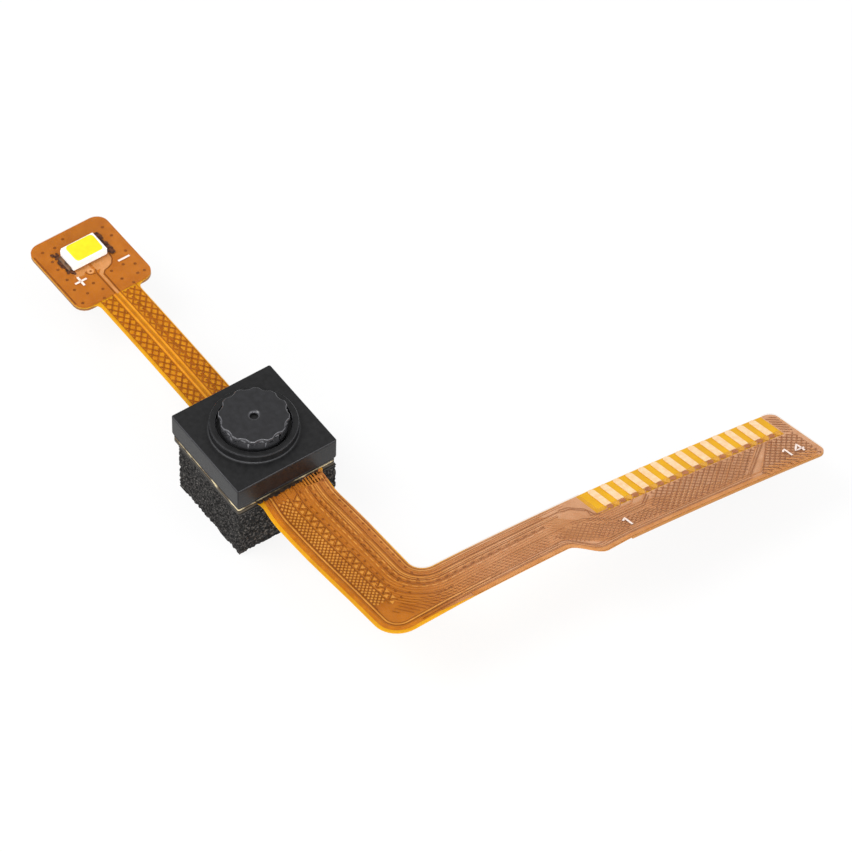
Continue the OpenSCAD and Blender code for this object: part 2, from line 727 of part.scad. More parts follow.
module ground_copper() {
    strip_v = tail_w / 2 - ground_margin - ground_strip_w / 2;
    border = concat(
        [for (u = concat(run_places(cover_start), before_corner(arm_outer - corner_outer_r)))
            [u, -run_outer + border_margin]],
        [for (a = spread(0, 90, trace_arc_n))
            [arm_outer - corner_outer_r + (corner_outer_r - border_margin) * sin(a),
             -run_outer + corner_outer_r - (corner_outer_r - border_margin) * cos(a)]],
        [for (v = concat(after_corner(corner_outer_r - run_outer), arm_places, contact_places))
            [arm_edge(v) - border_margin, v]]);
    color(copper_colour) {
        for (side = [-1, 1])
            sheet(line_stations(
                    [for (u = spread(paddle_start + neck_r, -cover_start, 6))
                        [u, tail_shift + side * strip_v]],
                    ground_strip_w),
                [0, 1], copper_low, copper_high);
        sheet(line_stations(border, border_w), [0, 1], copper_low, copper_high);
    }
}

// ---- Holder ----

// A square block whose four top edges are bevelled
module bevelled_block(side, h, bevel) {
    half = side / 2;
    intersection_for (a = [0, 90])
        rotate(a) translate([0, half, 0]) rotate([90, 0, 0]) linear_extrude(side)
            polygon([[-half, 0], [half, 0], [half, h - bevel], [half - bevel, h],
                [bevel - half, h], [-half, h - bevel]]);
}

module lens_holder() {
    color(black_plastic) difference() {
        union() {
            translate([0, 0, holder_z]) linear_extrude(skirt_h + past)
                rounded_square(skirt_side, holder_corner_r);
            translate([0, 0, holder_z + skirt_h]) intersection() {
                linear_extrude(holder_h - skirt_h) rounded_square(holder_side, holder_corner_r);
                bevelled_block(holder_side, holder_h - skirt_h, holder_bevel);
            }
            translate([0, 0, holder_top])
                cylinder(d1 = collar_d + 2 * collar_foot, d2 = collar_d, h = collar_foot);
            translate([0, 0, holder_top - past])
                cylinder(d = collar_d, h = collar_h + past - holder_bevel);
            translate([0, 0, collar_top - holder_bevel])
                cylinder(d1 = collar_d, d2 = collar_d - 2 * holder_bevel, h = holder_bevel);
        }
        translate([0, 0, holder_z + cavity_h / 2 - past / 2])
            cube([cavity_side, cavity_side, cavity_h + past], center = true);
        translate([0, 0, filter_z + filter_seat_h / 2 - past / 2])
            cube([filter_side + 2 * filter_play, filter_side + 2 * filter_play, filter_seat_h + past],
                center = true);
        translate([-window_side / 2, -window_side / 2, filter_z])
            cube([window_side, window_side, barrel_z - filter_z]);
        translate([0, 0, barrel_z - focus_room])
            cylinder(d = thread_d + 2 * thread_play, h = collar_top - barrel_z + focus_room + past);
        translate([0, 0, collar_top - counterbore_depth])
            cylinder(d = collar_hole_d, h = counterbore_depth + past);
    }
}

module holder_glue() {
    color("#e9e1c8") translate([0, 0, glue_z]) linear_extrude(glue_t) difference() {
        rounded_square(skirt_side, holder_corner_r);
        square(skirt_side - 2 * glue_w, center = true);
    }
}

module infrared_filter() {
    color("#9fc7d8")
        translate([-filter_side / 2, -filter_side / 2, filter_z + filter_play / 2])
            cube([filter_side, filter_side, filter_t]);
}

// ---- Sensor ----

module image_sensor() {
    color("#3a4a44")
        translate([-sensor_l / 2, -sensor_w / 2, sensor_z])
            cube([sensor_l, sensor_w, sensor_t]);
}

module sensor_cover_glass() {
    color(glass_colour)
        translate([-sensor_l / 2, -sensor_w / 2, sensor_z + sensor_t])
            cube([sensor_l, sensor_w, cover_glass_t]);
}

module sensor_solder_balls() {
    along = sensor_l - 2 * ball_d;
    across = sensor_w - 2 * ball_d;
    color("silver")
        for (x = spread(-along / 2, along / 2, balls_long - 1))
            for (y = spread(-across / 2, across / 2, balls_wide - 1))
                translate([x, y, film_z + base_t]) cylinder(d = ball_d, h = ball_h, $fn = small_fn);
}

module chip_capacitors() {
    row_y = (cavity_side / 2 + sensor_w / 2) / 2;
    span = sensor_l - cap_l;
    color("#b08a5a")
        for (side = [-1, 1])
            for (i = [0 : caps_a_side - 1])
                translate([span * ((i + 0.5) / caps_a_side - 0.5), side * row_y,
                        film_z + base_t + cap_w / 2])
                    cube([cap_l, cap_w, cap_w], center = true);
}

// ---- Lens ----

module lens_barrel() {
    color(black_plastic) difference() {
        union() {
            translate([0, 0, barrel_z]) cylinder(d = thread_d, h = thread_len + past);
            translate([0, 0, barrel_z + thread_len])
                cylinder(d = neck_d, h = lens_top - grip_h - barrel_z - thread_len + past);
            translate([0, 0, lens_top - grip_h]) linear_extrude(grip_h) grip_outline();
        }
        translate([0, 0, barrel_z - past]) cylinder(r = cell_r, h = cell_top - barrel_z + past);
        translate([0, 0, cell_top - past]) cylinder(d = pinhole_d, h = front_wall + 2 * past);
        translate([0, 0, lens_top - dish_depth])
            cylinder(d1 = pinhole_d, d2 = dish_d, h = dish_depth);
    }
}

module grip_outline() {
    difference() {
        circle(d = grip_d);
        for (i = [0 : scallop_count - 1])
            rotate(scallop_phase + (i + 0.5) * 360 / scallop_count)
                translate([grip_d / 2 + scallop_r - scallop_depth, 0]) circle(scallop_r);
    }
}

// Height of a spherical face of the given sag, at distance x from the axis
function bulge(x, r, sag) =
    let (big = (r * r + sag * sag) / (2 * sag))
    sqrt(big * big - x * x) - big + sag;

// A lens between two dished spherical faces inside a flat rim
module element(z, t, sags) {
    r = element_d / 2;
    clear_r = clear_share * r;
    low = [for (x = spread(0, clear_r, curve_steps)) [x, bulge(x, clear_r, sags[0])]];
    high = [for (x = spread(clear_r, 0, curve_steps)) [x, t - bulge(x, clear_r, sags[1])]];
    color(glass_colour)
        translate([0, 0, z])
            rotate_extrude() polygon(concat(low, [[r, 0], [r, t]], high));
}

module flat_ring(z, t, hole_r) {
    translate([0, 0, z]) difference() {
        cylinder(d = element_d, h = t);
        translate([0, 0, -past]) cylinder(r = hole_r, h = t + 2 * past);
    }
}

module front_lens() { element(front_lens_z, front_lens_t, front_sags); }
module middle_lens() { element(middle_lens_z, middle_lens_t, middle_sags); }
module rear_lens() { element(rear_lens_z, rear_lens_t, rear_sags); }
module aperture_stop() { color("black") flat_ring(stop_z, stop_t, stop_hole_d / 2); }
module spacer_ring() { color("black") flat_ring(spacer_z, spacer_t, element_d / 2 - ring_w); }
module retainer_ring() { color("black") flat_ring(retainer_z, retainer_t, element_d / 2 - ring_w); }

// ---- LED ----

// Sets a child in its place on the LED's centre, at height h over the film's underside
module on_led(h) {
    on_run(-led_place, led_offset, h) children();
}

module led_window(h) {
    translate([-window_w / 2, window_offset - window_l / 2, 0]) cube([window_w, window_l, h]);
}

module led_housing() {
    color("white") on_led(led_low) difference() {
        translate([-led_w / 2, -led_l / 2, 0]) cube([led_w, led_l, led_h]);
        translate([-led_w / 2, -led_l / 2, led_h / 2])
            rotate(45) cube([led_notch, led_notch, led_h + 2 * past], center = true);
        translate([0, 0, led_h - cup_depth]) led_window(cup_depth + past);
    }
}

module led_chip() {
    color("#e8e870") on_led(cup_low)
        translate([-chip_side / 2, window_offset - chip_side / 2, 0])
            cube([chip_side, chip_side, chip_t]);
}

module led_phosphor() {
    color("#f5e400") on_led(cup_low) difference() {
        led_window(cup_depth - phosphor_drop);
        translate([-chip_side / 2, window_offset - chip_side / 2, -past])
            cube([chip_side, chip_side, chip_t + past]);
    }
}

module led_terminals() {
    color("#b9bcc0") on_led(terminal_low)
        for (side = [0, 180]) rotate(side)
            translate([-terminal_l / 2, led_l / 2 - terminal_inside, 0])
                cube([terminal_l, terminal_inside, terminal_t - bond_t]);
}

module led_solder() {
    shoulder = [solder_reach * fillet_shoulder.x, solder_h * fillet_shoulder.y];
    color("#77706a") on_led(terminal_low)
        for (side = [0, 180]) rotate(side)
            translate([-terminal_l / 2, led_l / 2 + bond_t, 0])
                rotate([90, 0, 90]) linear_extrude(terminal_l)
                    polygon([[0, 0], [solder_reach, 0], shoulder, [0, solder_h]]);
}

foam_pad();
foam_tape();
camera_plate();
base_film();
tail_cover_film();
arm_cover_film();
signal_traces();
led_traces();
ground_copper();
contact_fingers();
contact_stiffener();
led_stiffener();
holder_glue();
lens_holder();
infrared_filter();
image_sensor();
sensor_cover_glass();
sensor_solder_balls();
chip_capacitors();
lens_barrel();
front_lens();
aperture_stop();
middle_lens();
spacer_ring();
rear_lens();
retainer_ring();
led_housing();
led_chip();
led_phosphor();
led_terminals();
led_solder();
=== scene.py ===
import math

import bmesh
import bpy
from mathutils import Matrix, Vector, noise
from mathutils.bvhtree import BVHTree


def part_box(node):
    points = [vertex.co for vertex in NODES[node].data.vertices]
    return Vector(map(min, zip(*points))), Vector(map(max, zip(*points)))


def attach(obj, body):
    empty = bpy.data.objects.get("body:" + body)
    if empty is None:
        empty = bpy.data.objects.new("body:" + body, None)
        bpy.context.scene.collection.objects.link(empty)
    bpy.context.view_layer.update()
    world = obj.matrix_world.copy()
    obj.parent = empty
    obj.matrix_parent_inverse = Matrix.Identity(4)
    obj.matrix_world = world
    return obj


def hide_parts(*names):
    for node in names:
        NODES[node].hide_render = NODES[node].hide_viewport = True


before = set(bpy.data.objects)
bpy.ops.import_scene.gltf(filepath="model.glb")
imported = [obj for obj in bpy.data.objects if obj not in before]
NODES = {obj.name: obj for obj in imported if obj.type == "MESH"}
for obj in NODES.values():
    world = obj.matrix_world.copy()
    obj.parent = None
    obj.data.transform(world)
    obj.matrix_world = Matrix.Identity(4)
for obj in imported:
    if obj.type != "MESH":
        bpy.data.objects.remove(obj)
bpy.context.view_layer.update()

MM = 0.001


# ---- Camera, floor and lights ----

# The focal length and the frame's width in millimetres, the camera's place in metres,
# and the directions of its right side and its back
FOCAL_LENGTH, FRAME_WIDTH = 202.337, 36.0
CAMERA_PLACE = (0.179427, -0.120531, 0.270201)
CAMERA_RIGHT = (0.57978, 0.81442, 0.02417)
CAMERA_BACK = (0.50676, -0.38367, 0.77200)

FLOOR_REACH, FLOOR_DROP = 3.0, 0.00002
WHITE_LIGHT = (1, 1, 1, 1)
FLOOR_COLOUR = (0.86, 0.86, 0.86, 1)
# Share of the floor's colour that is plain white, where the camera sees it
FLOOR_WHITENESS = 0.86
ROOM_LIGHT = 0.62

# Each lamp's place and side in metres and its watts, and the point that all look at
LAMPS = {
    "key": ((-0.14, -0.22, 0.38), 0.25, 1.15),
    "low_fill": ((0.26, -0.20, 0.10), 0.18, 0.8),
    "far_fill": ((0.30, 0.18, 0.28), 0.30, 0.6),
}
LAMP_AIM = (0, 0, 0.005)


def add_object(name, data):
    obj = bpy.data.objects.new(name, data)
    bpy.context.scene.collection.objects.link(obj)
    return obj


def add_piece(name, mesh, mat):
    """A new piece of the model, which rides on the circuit."""
    mesh.materials.append(mat)
    obj = add_object(name, mesh)
    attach(obj, "circuit")
    return obj


def srgb(text):
    """A colour such as #e39a0c as linear numbers, with an alpha of 1."""
    parts = [int(text[i:i + 2], 16) / 255 for i in (1, 3, 5)]
    return (*(c / 12.92 if c <= 0.04045 else ((c + 0.055) / 1.055) ** 2.4 for c in parts), 1.0)


def feed(tree, node, inputs):
    """Set a node's inputs, each from a socket, a colour's text or a plain value."""
    for key, value in inputs.items():
        if isinstance(value, bpy.types.NodeSocket):
            tree.links.new(value, node.inputs[key])
        else:
            node.inputs[key].default_value = srgb(value) if isinstance(value, str) else value


def add_node(tree, kind, inputs=None, **settings):
    node = tree.nodes.new("ShaderNode" + kind)
    for key, value in settings.items():
        setattr(node, key, value)
    feed(tree, node, inputs or {})
    return node


def calculate(tree, operation, first, second=0.0):
    """The output of a Math node whose two inputs are sockets or numbers."""
    return add_node(tree, "Math", {0: first, 1: second}, operation=operation).outputs[0]


def make_camera():
    data = bpy.data.cameras.new("camera")
    data.sensor_width = FRAME_WIDTH
    data.lens = FOCAL_LENGTH
    data.clip_start, data.clip_end = 0.01, 5.0
    camera = add_object("camera", data)
    right = Vector(CAMERA_RIGHT).normalized()
    back = Vector(CAMERA_BACK).normalized()
    up = back.cross(right).normalized()
    right = up.cross(back).normalized()
    turn = Matrix((right, up, back)).transposed().to_4x4()
    camera.matrix_world = Matrix.Translation(CAMERA_PLACE) @ turn
    bpy.context.scene.camera = camera


def make_floor():
    mesh = bpy.data.meshes.new("floor")
    r = FLOOR_REACH
    mesh.from_pydata([(-r, -r, 0), (r, -r, 0), (r, r, 0), (-r, r, 0)], [], [(0, 1, 2, 3)])
    mat = bpy.data.materials.new("floor")
    mat.use_nodes = True
    tree = mat.node_tree
    tree.nodes.clear()
    path = add_node(tree, "LightPath").outputs
    seen = calculate(tree, "MAXIMUM", path["Is Camera Ray"], path["Is Glossy Ray"])
    seen = calculate(tree, "MAXIMUM", seen, path["Is Transmission Ray"])
    share = calculate(tree, "MULTIPLY", seen, FLOOR_WHITENESS)
    diffuse = add_node(tree, "BsdfDiffuse", {"Color": FLOOR_COLOUR})
    glow = add_node(tree, "Emission", {"Color": WHITE_LIGHT, "Strength": 1.0})
    mix = add_node(tree, "MixShader", {0: share, 1: diffuse.outputs[0], 2: glow.outputs[0]})
    add_node(tree, "OutputMaterial", {"Surface": mix.outputs[0]})
    mesh.materials.append(mat)
    floor = add_object("floor", mesh)
    floor.location.z = -FLOOR_DROP


def make_world():
    """Soft light from all round, which the camera itself sees as plain white."""
    world = bpy.data.worlds.new("world")
    bpy.context.scene.world = world
    world.use_nodes = True
    tree = world.node_tree
    tree.nodes.clear()
    room = add_node(tree, "Background", {"Color": WHITE_LIGHT, "Strength": ROOM_LIGHT})
    white = add_node(tree, "Background", {"Color": WHITE_LIGHT, "Strength": 1.0})
    seen = add_node(tree, "LightPath").outputs["Is Camera Ray"]
    mix = add_node(tree, "MixShader", {0: seen, 1: room.outputs[0], 2: white.outputs[0]})
    add_node(tree, "OutputWorld", {"Surface": mix.outputs[0]})


def make_lamp(name, place, side, watts):
    """A square lamp that looks at the camera module."""
    data = bpy.data.lights.new(name, "AREA")
    data.shape = "SQUARE"
    data.size = side
    data.energy = watts
    turn = (Vector(LAMP_AIM) - Vector(place)).to_track_quat("-Z", "Y").to_matrix().to_4x4()
    add_object(name, data).matrix_world = Matrix.Translation(place) @ turn


bpy.context.scene.view_settings.view_transform = "Standard"
make_camera()
make_floor()
make_world()
for lamp, values in LAMPS.items():
    make_lamp(lamp, *values)


# ---- How the flat film is bent ----

# The film's flat pattern in millimetres, as in the part's source. u runs along the tail and the
# run, v across them and along the arm
HOLDER_HALF = 4.25
PADDLE_END, PADDLE_START = -25.55, -18.0
PADDLE_HALF, PADDLE_SHIFT, PADDLE_R = 3.3, 0.2, 1.0
TAIL_HALF, TAIL_SHIFT = 1.725, 0.1
RUN_OUTER, RUN_INNER = 2.45, 2.85
ARM_INNER, ARM_OUTER, CONTACT_OUTER = 16.4, 20.65, 23.0
ARM_WIDENING, ARM_END = 0.3, 33.8
STEP_START, STEP_L = 12.5, 2.0
OUTER_R, INNER_R, END_R = 2.0, 1.2, 0.7
OPENING_START, OPENING_ROOT = 16.6, 18.76
CONTACT_FIRST, CONTACT_PITCH, CONTACT_COUNT = 17.55, 1.1, 14
CORNER_START = ARM_INNER - INNER_R
FAN_END = RUN_INNER + INNER_R + 3
FILM_Z = 4.73
# Heights of the layers' tops above the film's underside
BASE_TOP, COPPER_TOP, COVER_TOP = 0.060, 0.110, 0.175

# Places along the film and the angles there in degrees, which change evenly in between
RUN_BENDS = [(PADDLE_START, 2.2), (-HOLDER_HALF, 0), (HOLDER_HALF, 0), (HOLDER_HALF + 0.6, -18.5),
             (HOLDER_HALF + 1.15, -18.5), (HOLDER_HALF + 2.55, 6), (ARM_INNER, 8.5)]
RUN_ROLLS = [(PADDLE_START, 0.7), (-HOLDER_HALF, 0), (HOLDER_HALF, 0),
             ((HOLDER_HALF + CORNER_START) / 2, 5.5), (CORNER_START, 0)]
ARM_ROLLS = [(RUN_INNER, 8.5), (OPENING_START, 17.2)]
ARM_DROOPS = [(RUN_INNER, 0), (RUN_INNER + INNER_R, -2.25), (ARM_END, -7.5)]
ARM_SPLAYS = [(RUN_INNER, 0), (FAN_END, 0.55)]
BEND_STEP = 0.1
# The film's facets are looked for from this far above it
LOOK = 0.6


def lookup(x, table):
    """The value at x in a table of places and values, even between them."""
    if x <= table[0][0]:
        return table[0][1]
    for (x0, y0), (x1, y1) in zip(table, table[1:]):
        if x <= x1:
            return y0 + (y1 - y0) * (x - x0) / (x1 - x0)
    return table[-1][1]


def turned(p, angles):
    """A point turned about X, then Y, then Z."""
    a, b, c = (math.radians(v) for v in angles)
    p = Matrix.Rotation(a, 3, "X") @ Vector(p)
    return Matrix.Rotation(c, 3, "Z") @ (Matrix.Rotation(b, 3, "Y") @ p)


def run_turn(u):
    return lookup(u, RUN_ROLLS), -lookup(u, RUN_BENDS), 0


def arm_turn(v):
    return lookup(v, ARM_DROOPS), -lookup(v, ARM_ROLLS), -lookup(v, ARM_SPLAYS)


def walk(length, start, heading):
    """The points of a bent line, one BEND_STEP apart; heading gives its direction at a length."""
    line = [Vector(start)]
    for i in range(math.ceil(length / BEND_STEP)):
        line.append(line[-1] + BEND_STEP * heading((i + 0.5) * BEND_STEP))
    return line


def along(line, length):
    k = length / BEND_STEP
    i = min(int(k), len(line) - 2)
    return line[i].lerp(line[i + 1], k - i)


RUN_LINE = walk(CONTACT_OUTER + 1, (0, 0, FILM_Z), lambda s: turned((1, 0, 0), run_turn(s)))
TAIL_LINE = walk(1 - PADDLE_END, (0, 0, FILM_Z), lambda s: turned((-1, 0, 0), run_turn(-s)))


def run_origin(u):
    return along(TAIL_LINE, -u) if u < 0 else along(RUN_LINE, u)


ARM_LINE = walk(ARM_END - RUN_INNER + 1, run_origin(ARM_INNER) + Vector((0, RUN_INNER, 0)),
                lambda s: turned((0, 1, 0), arm_turn(RUN_INNER + s)))

FILM_MESH = NODES["base_film"].data
FILM_FACETS = BVHTree.FromPolygons([v.co for v in FILM_MESH.vertices],
                                   [tuple(f.vertices) for f in FILM_MESH.polygons])


def form(u, v, h):
    """The place in metres of the flat film's point (u, v), h above its underside.

    It follows the facets of the solid film wherever the point lies over them.
    """
    if v > RUN_INNER and u > HOLDER_HALF:
        origin, angles, across = along(ARM_LINE, v - RUN_INNER), arm_turn(v), (u - ARM_INNER, 0, BASE_TOP)
    else:
        origin, angles, across = run_origin(u), run_turn(u), (0, v, BASE_TOP)
    top = (origin + turned(across, angles)) * MM
    up = turned((0, 0, 1), angles)
    hit = FILM_FACETS.ray_cast(top + up * LOOK * MM, -up, 2 * LOOK * MM)[0]
    return (hit or top) + up * (h - BASE_TOP) * MM


# ---- Materials ----

# The film's colours drift from the run to the arm over this stretch of Y, in metres
DRIFT_FROM, DRIFT_TO = 0.0, 0.009
# The upright part of a face's normal is below this on an edge, which takes the painted light and shade of
# the sides
SIDE_SHADING_SLOPE = 0.6
# On a chamfer it is about this: the painted highlight's colour is full to one distance from it and
# gone at the other
HIGHLIGHT_SLOPE, HIGHLIGHT_FULL, HIGHLIGHT_GONE = 0.62, 0.16, 0.33
NOISE_DETAIL = 4.0
BUMP_DEPTH = 0.00005


def noise_at(tree, place, scale):
    inputs = {"Vector": place, "Scale": scale, "Detail": NOISE_DETAIL}
    return add_node(tree, "TexNoise", inputs).outputs["Fac"]


def remapped(tree, value, inputs, **settings):
    return add_node(tree, "MapRange", {"Value": value, **inputs}, **settings).outputs[0]


def tinted(tree, value, places, colours):
    """A colour for a value: the first colour up to the first place, the second from the second on."""
    tint = add_node(tree, "ValToRGB", {"Fac": value})
    for stop, at, colour in zip(tint.color_ramp.elements, places, colours):
        stop.position = at
        stop.color = srgb(colour)
    return tint.outputs["Color"]


def blended(tree, share, first, second):
    """The first colour where share is 0 and the second where it is 1."""
    inputs = {"Factor": share, "A": first, "B": second}
    return add_node(tree, "Mix", inputs, data_type="RGBA").outputs["Result"]


def finish(name, low, high, arm=None, scale=900.0, rough=(0.4, 0.5), bump=0.0, bump_scale=None,
           metal=0.0, alpha=1.0, specular=0.5, edge=None, painted_highlight=None, ramp=(0.35, 0.65)):
    """Two colours mixed by noise, with roughness and bump.

    arm gives two more colours for the arm, edge the colours of upright faces away from and
    on the arm, painted light and shade on the sides, and chamfer a colour for sloping faces,
    a painted highlight along bevels.
    """
    mat = bpy.data.materials.new(name)
    mat.use_nodes = True
    tree = mat.node_tree
    where = add_node(tree, "TexCoord").outputs
    place = where["Object"]
    grain = noise_at(tree, place, scale)
    y = add_node(tree, "SeparateXYZ", {0: place}).outputs["Y"]
    drift = remapped(tree, y, {"From Min": DRIFT_FROM, "From Max": DRIFT_TO},
                     interpolation_type="SMOOTHSTEP")
    upright = add_node(tree, "SeparateXYZ", {0: where["Normal"]}).outputs["Z"]
    slope = calculate(tree, "ABSOLUTE", upright)
    colour = tinted(tree, grain, ramp, (low, high))
    if arm:
        colour = blended(tree, drift, colour, tinted(tree, grain, ramp, arm))
    # Upright faces take the edge colours: painted light and shade on the sides.
    if edge:
        side_shading_mask = calculate(tree, "GREATER_THAN", slope, SIDE_SHADING_SLOPE)
        colour = blended(tree, side_shading_mask, blended(tree, drift, *edge), colour)
    # Faces near the bevel slope take a lighter colour: a painted highlight.
    if painted_highlight:
        off = calculate(tree, "ABSOLUTE", calculate(tree, "SUBTRACT", slope, HIGHLIGHT_SLOPE))
        share = remapped(tree, off, {"From Min": HIGHLIGHT_FULL, "From Max": HIGHLIGHT_GONE,
                                     "To Min": 1.0, "To Max": 0.0})
        colour = blended(tree, share, colour, painted_highlight)
    shader = tree.nodes["Principled BSDF"]
    feed(tree, shader, {
        "Base Color": colour,
        "Roughness": remapped(tree, grain, {"To Min": rough[0], "To Max": rough[1]}),
        "Metallic": metal,
        "Specular IOR Level": specular,
        "Alpha": alpha,
    })
    if bump:
        height = noise_at(tree, place, bump_scale or scale * 2)
        relief = add_node(tree, "Bump", {"Strength": bump, "Distance": BUMP_DEPTH, "Height": height})
        feed(tree, shader, {"Normal": relief.outputs[0]})
    return mat


# The film's upright cut edges take darker colours: painted shade on the film's thickness.
FILM = finish("film_amber", "#e2a206", "#eeb10c", ("#dca006", "#e8ae0a"), 500, (0.3, 0.42), 0.15,
              specular=0.25, edge=("#c8901c", "#b87c40"))
COVER = finish("film_cover", "#b4681a", "#c0761e", ("#bc7a46", "#c88856"), 500, (0.25, 0.38), 0.12,
               alpha=0.1)
COPPER = finish("copper", "#b2691a", "#c47a26", ("#c08454", "#cf9768"), 700, bump=0.2, specular=0.2)
POUR = finish("copper_under", "#a85e12", "#bd711c", ("#cc966c", "#deae88"), 600, bump=0.25,
              bump_scale=3000, specular=0.2)
DARK_LINE = finish("gap_line", "#783a06", "#8e4c0c", ("#965f40", "#a8744e"), 900, specular=0.2)
LIGHT_LINE = finish("bright_line", "#cf8a32", "#df9d42", ("#d29c6c", "#e2b086"), 900, specular=0.2)
RIM = finish("copper_rim", "#b96808", "#cd7c14", ("#cc8a4c", "#dc9e62"), 1500, bump=0.3, specular=0.2)
BRIGHT = finish("copper_bright", "#ec9a1a", "#f8ac2c", scale=1500, bump=0.2, specular=0.1)
HATCH = finish("copper_hatch", "#924a04", "#ae6008", scale=1500, bump=0.2, specular=0.1)
TAIL_GAP = finish("tail_gap", "#b87010", "#c67e16", scale=1500, specular=0.1)
TAIL_AMBER = finish("copper_tail", "#d4860c", "#eca21c", scale=1800, bump=0.2, specular=0.1)
PADDLE_POUR = finish("copper_paddle", "#b26416", "#c0721e", bump=0.2, specular=0.2)
PEACH = finish("copper_pale", "#cc8e50", "#dca068", scale=1500, bump=0.2, specular=0.2)
RING = finish("ring_pale", "#e0a468", "#e8b47c", scale=1500, bump=0.2, specular=0.2)
VIA = finish("via_dark", "#6e3406", "#84440e", scale=2600, specular=0.2)
BLOB = finish("pad_root", "#a8663e", "#bd7c54", scale=2600, bump=0.2, specular=0.2)
NECK = finish("film_neck", "#e2a42c", "#ecb43c", scale=2600, bump=0.2, specular=0.2)
GOLD = finish("contact_gold", "#f0c490", "#f8d6ac", scale=3000, rough=(0.3, 0.45), bump=0.3)
# The stiffeners' dark browns are painted shade below the film's edge.
SHADED_BACKING = finish("film_backing_painted_shade", "#7e5016", "#946420", scale=500, bump=0.1, edge=("#8c5818", "#a8743c"))
# The holder's bevels take a lighter grey: a painted highlight along its edges.
BLACK = finish("holder_black", "#121213", "#1b1b1c", scale=2500, rough=(0.36, 0.48), bump=0.35,
               bump_scale=9000, specular=0.3, painted_highlight="#505053")
# The lens's upright sides are painted lighter, as painted light, and its bevels lighter still, as a painted
# highlight.
LENS = finish("lens_black", "#18181a", "#212124", scale=2200, rough=(0.2, 0.3), bump=0.15,
              bump_scale=8000, edge=("#38383a", "#38383a"), painted_highlight="#545458")
DEAD_BLACK = finish("black_inside", "#060607", "#0a0a0b", scale=2200, rough=(0.6, 0.7))
FOAM_SKIN = finish("foam_black", "#0c0b0a", "#6e6a66", scale=6500, rough=(0.75, 0.95), bump=1.0,
                   bump_scale=6000, specular=0.25, ramp=(0.5, 0.82))
TAPE = finish("tape_grey", "#1c1b1a", "#2a2826", rough=(0.6, 0.7))
PLATE = finish("plate_dark", "#2c2820", "#4a4236", scale=1800, rough=(0.5, 0.6), bump=0.3)
GLUE = finish("glue_cream", "#4a3e2a", "#cfc09a", rough=(0.35, 0.5), bump=0.5, ramp=(0.42, 0.6))
FOOT_DARK = finish("foot_dark", "#1a1410", "#4a3828", scale=3000, rough=(0.3, 0.5), bump=0.6)
WHITE = finish("led_white", "#f4f4f2", "#fdfdfc", scale=2200, rough=(0.3, 0.4), bump=0.1)
YELLOW = finish("led_yellow", "#ecd404", "#f4de08", scale=1800, rough=(0.35, 0.45), bump=0.1)
SOLDER = finish("solder_dull", "#35261c", "#7a5838", scale=2400, rough=(0.3, 0.5), bump=0.4)
FLUX = finish("flux_brown", "#2e1a12", "#6e4026", scale=4200, rough=(0.3, 0.6), bump=0.6, specular=0.2)
TIN = finish("tin", "#9a9a98", "#b4b4b0", scale=2400, rough=(0.3, 0.4), metal=0.6)
GLASS = finish("lens_glass", "#c8dde6", "#d6e8ee", scale=800, rough=(0.05, 0.08), alpha=0.3)
FILTER = finish("filter_glass", "#8fc0d4", "#9fcede", scale=800, rough=(0.05, 0.08), alpha=0.4)
SENSOR = finish("sensor_dark", "#2b3a34", "#34463e", scale=2600, rough=(0.3, 0.4))
CERAMIC = finish("ceramic", "#8a6238", "#a0764a", scale=2600, rough=(0.5, 0.6))
INK = finish("ink_white", "#ecd6ca", "#f8e8de", scale=2600, rough=(0.5, 0.6))

NODE_FINISHES = {
    "base_film": FILM, "tail_cover_film": COVER, "arm_cover_film": COVER,
    "signal_traces": COPPER, "led_traces": BRIGHT, "ground_copper": POUR,
    "contact_fingers": GOLD, "contact_stiffener": SHADED_BACKING, "led_stiffener": SHADED_BACKING,
    "holder_glue": GLUE, "lens_holder": BLACK, "infrared_filter": FILTER,
    "image_sensor": SENSOR, "sensor_cover_glass": GLASS, "sensor_solder_balls": TIN,
    "chip_capacitors": CERAMIC, "lens_barrel": LENS, "front_lens": DEAD_BLACK,
    "aperture_stop": DEAD_BLACK, "middle_lens": GLASS, "spacer_ring": DEAD_BLACK,
    "rear_lens": GLASS, "retainer_ring": DEAD_BLACK, "led_housing": WHITE,
    "led_chip": YELLOW, "led_phosphor": YELLOW, "led_terminals": TIN, "led_solder": SOLDER,
    "foam_tape": TAPE, "foam_pad": FOAM_SKIN, "camera_plate": PLATE,
}


def give_finish(obj, mat):
    if not obj.material_slots:
        obj.data.materials.append(mat)
    for spot in obj.material_slots:
        spot.link = "OBJECT"
        spot.material = mat


for node, node_finish in NODE_FINISHES.items():
    give_finish(NODES[node], node_finish)


# ---- Thin pieces in the film ----

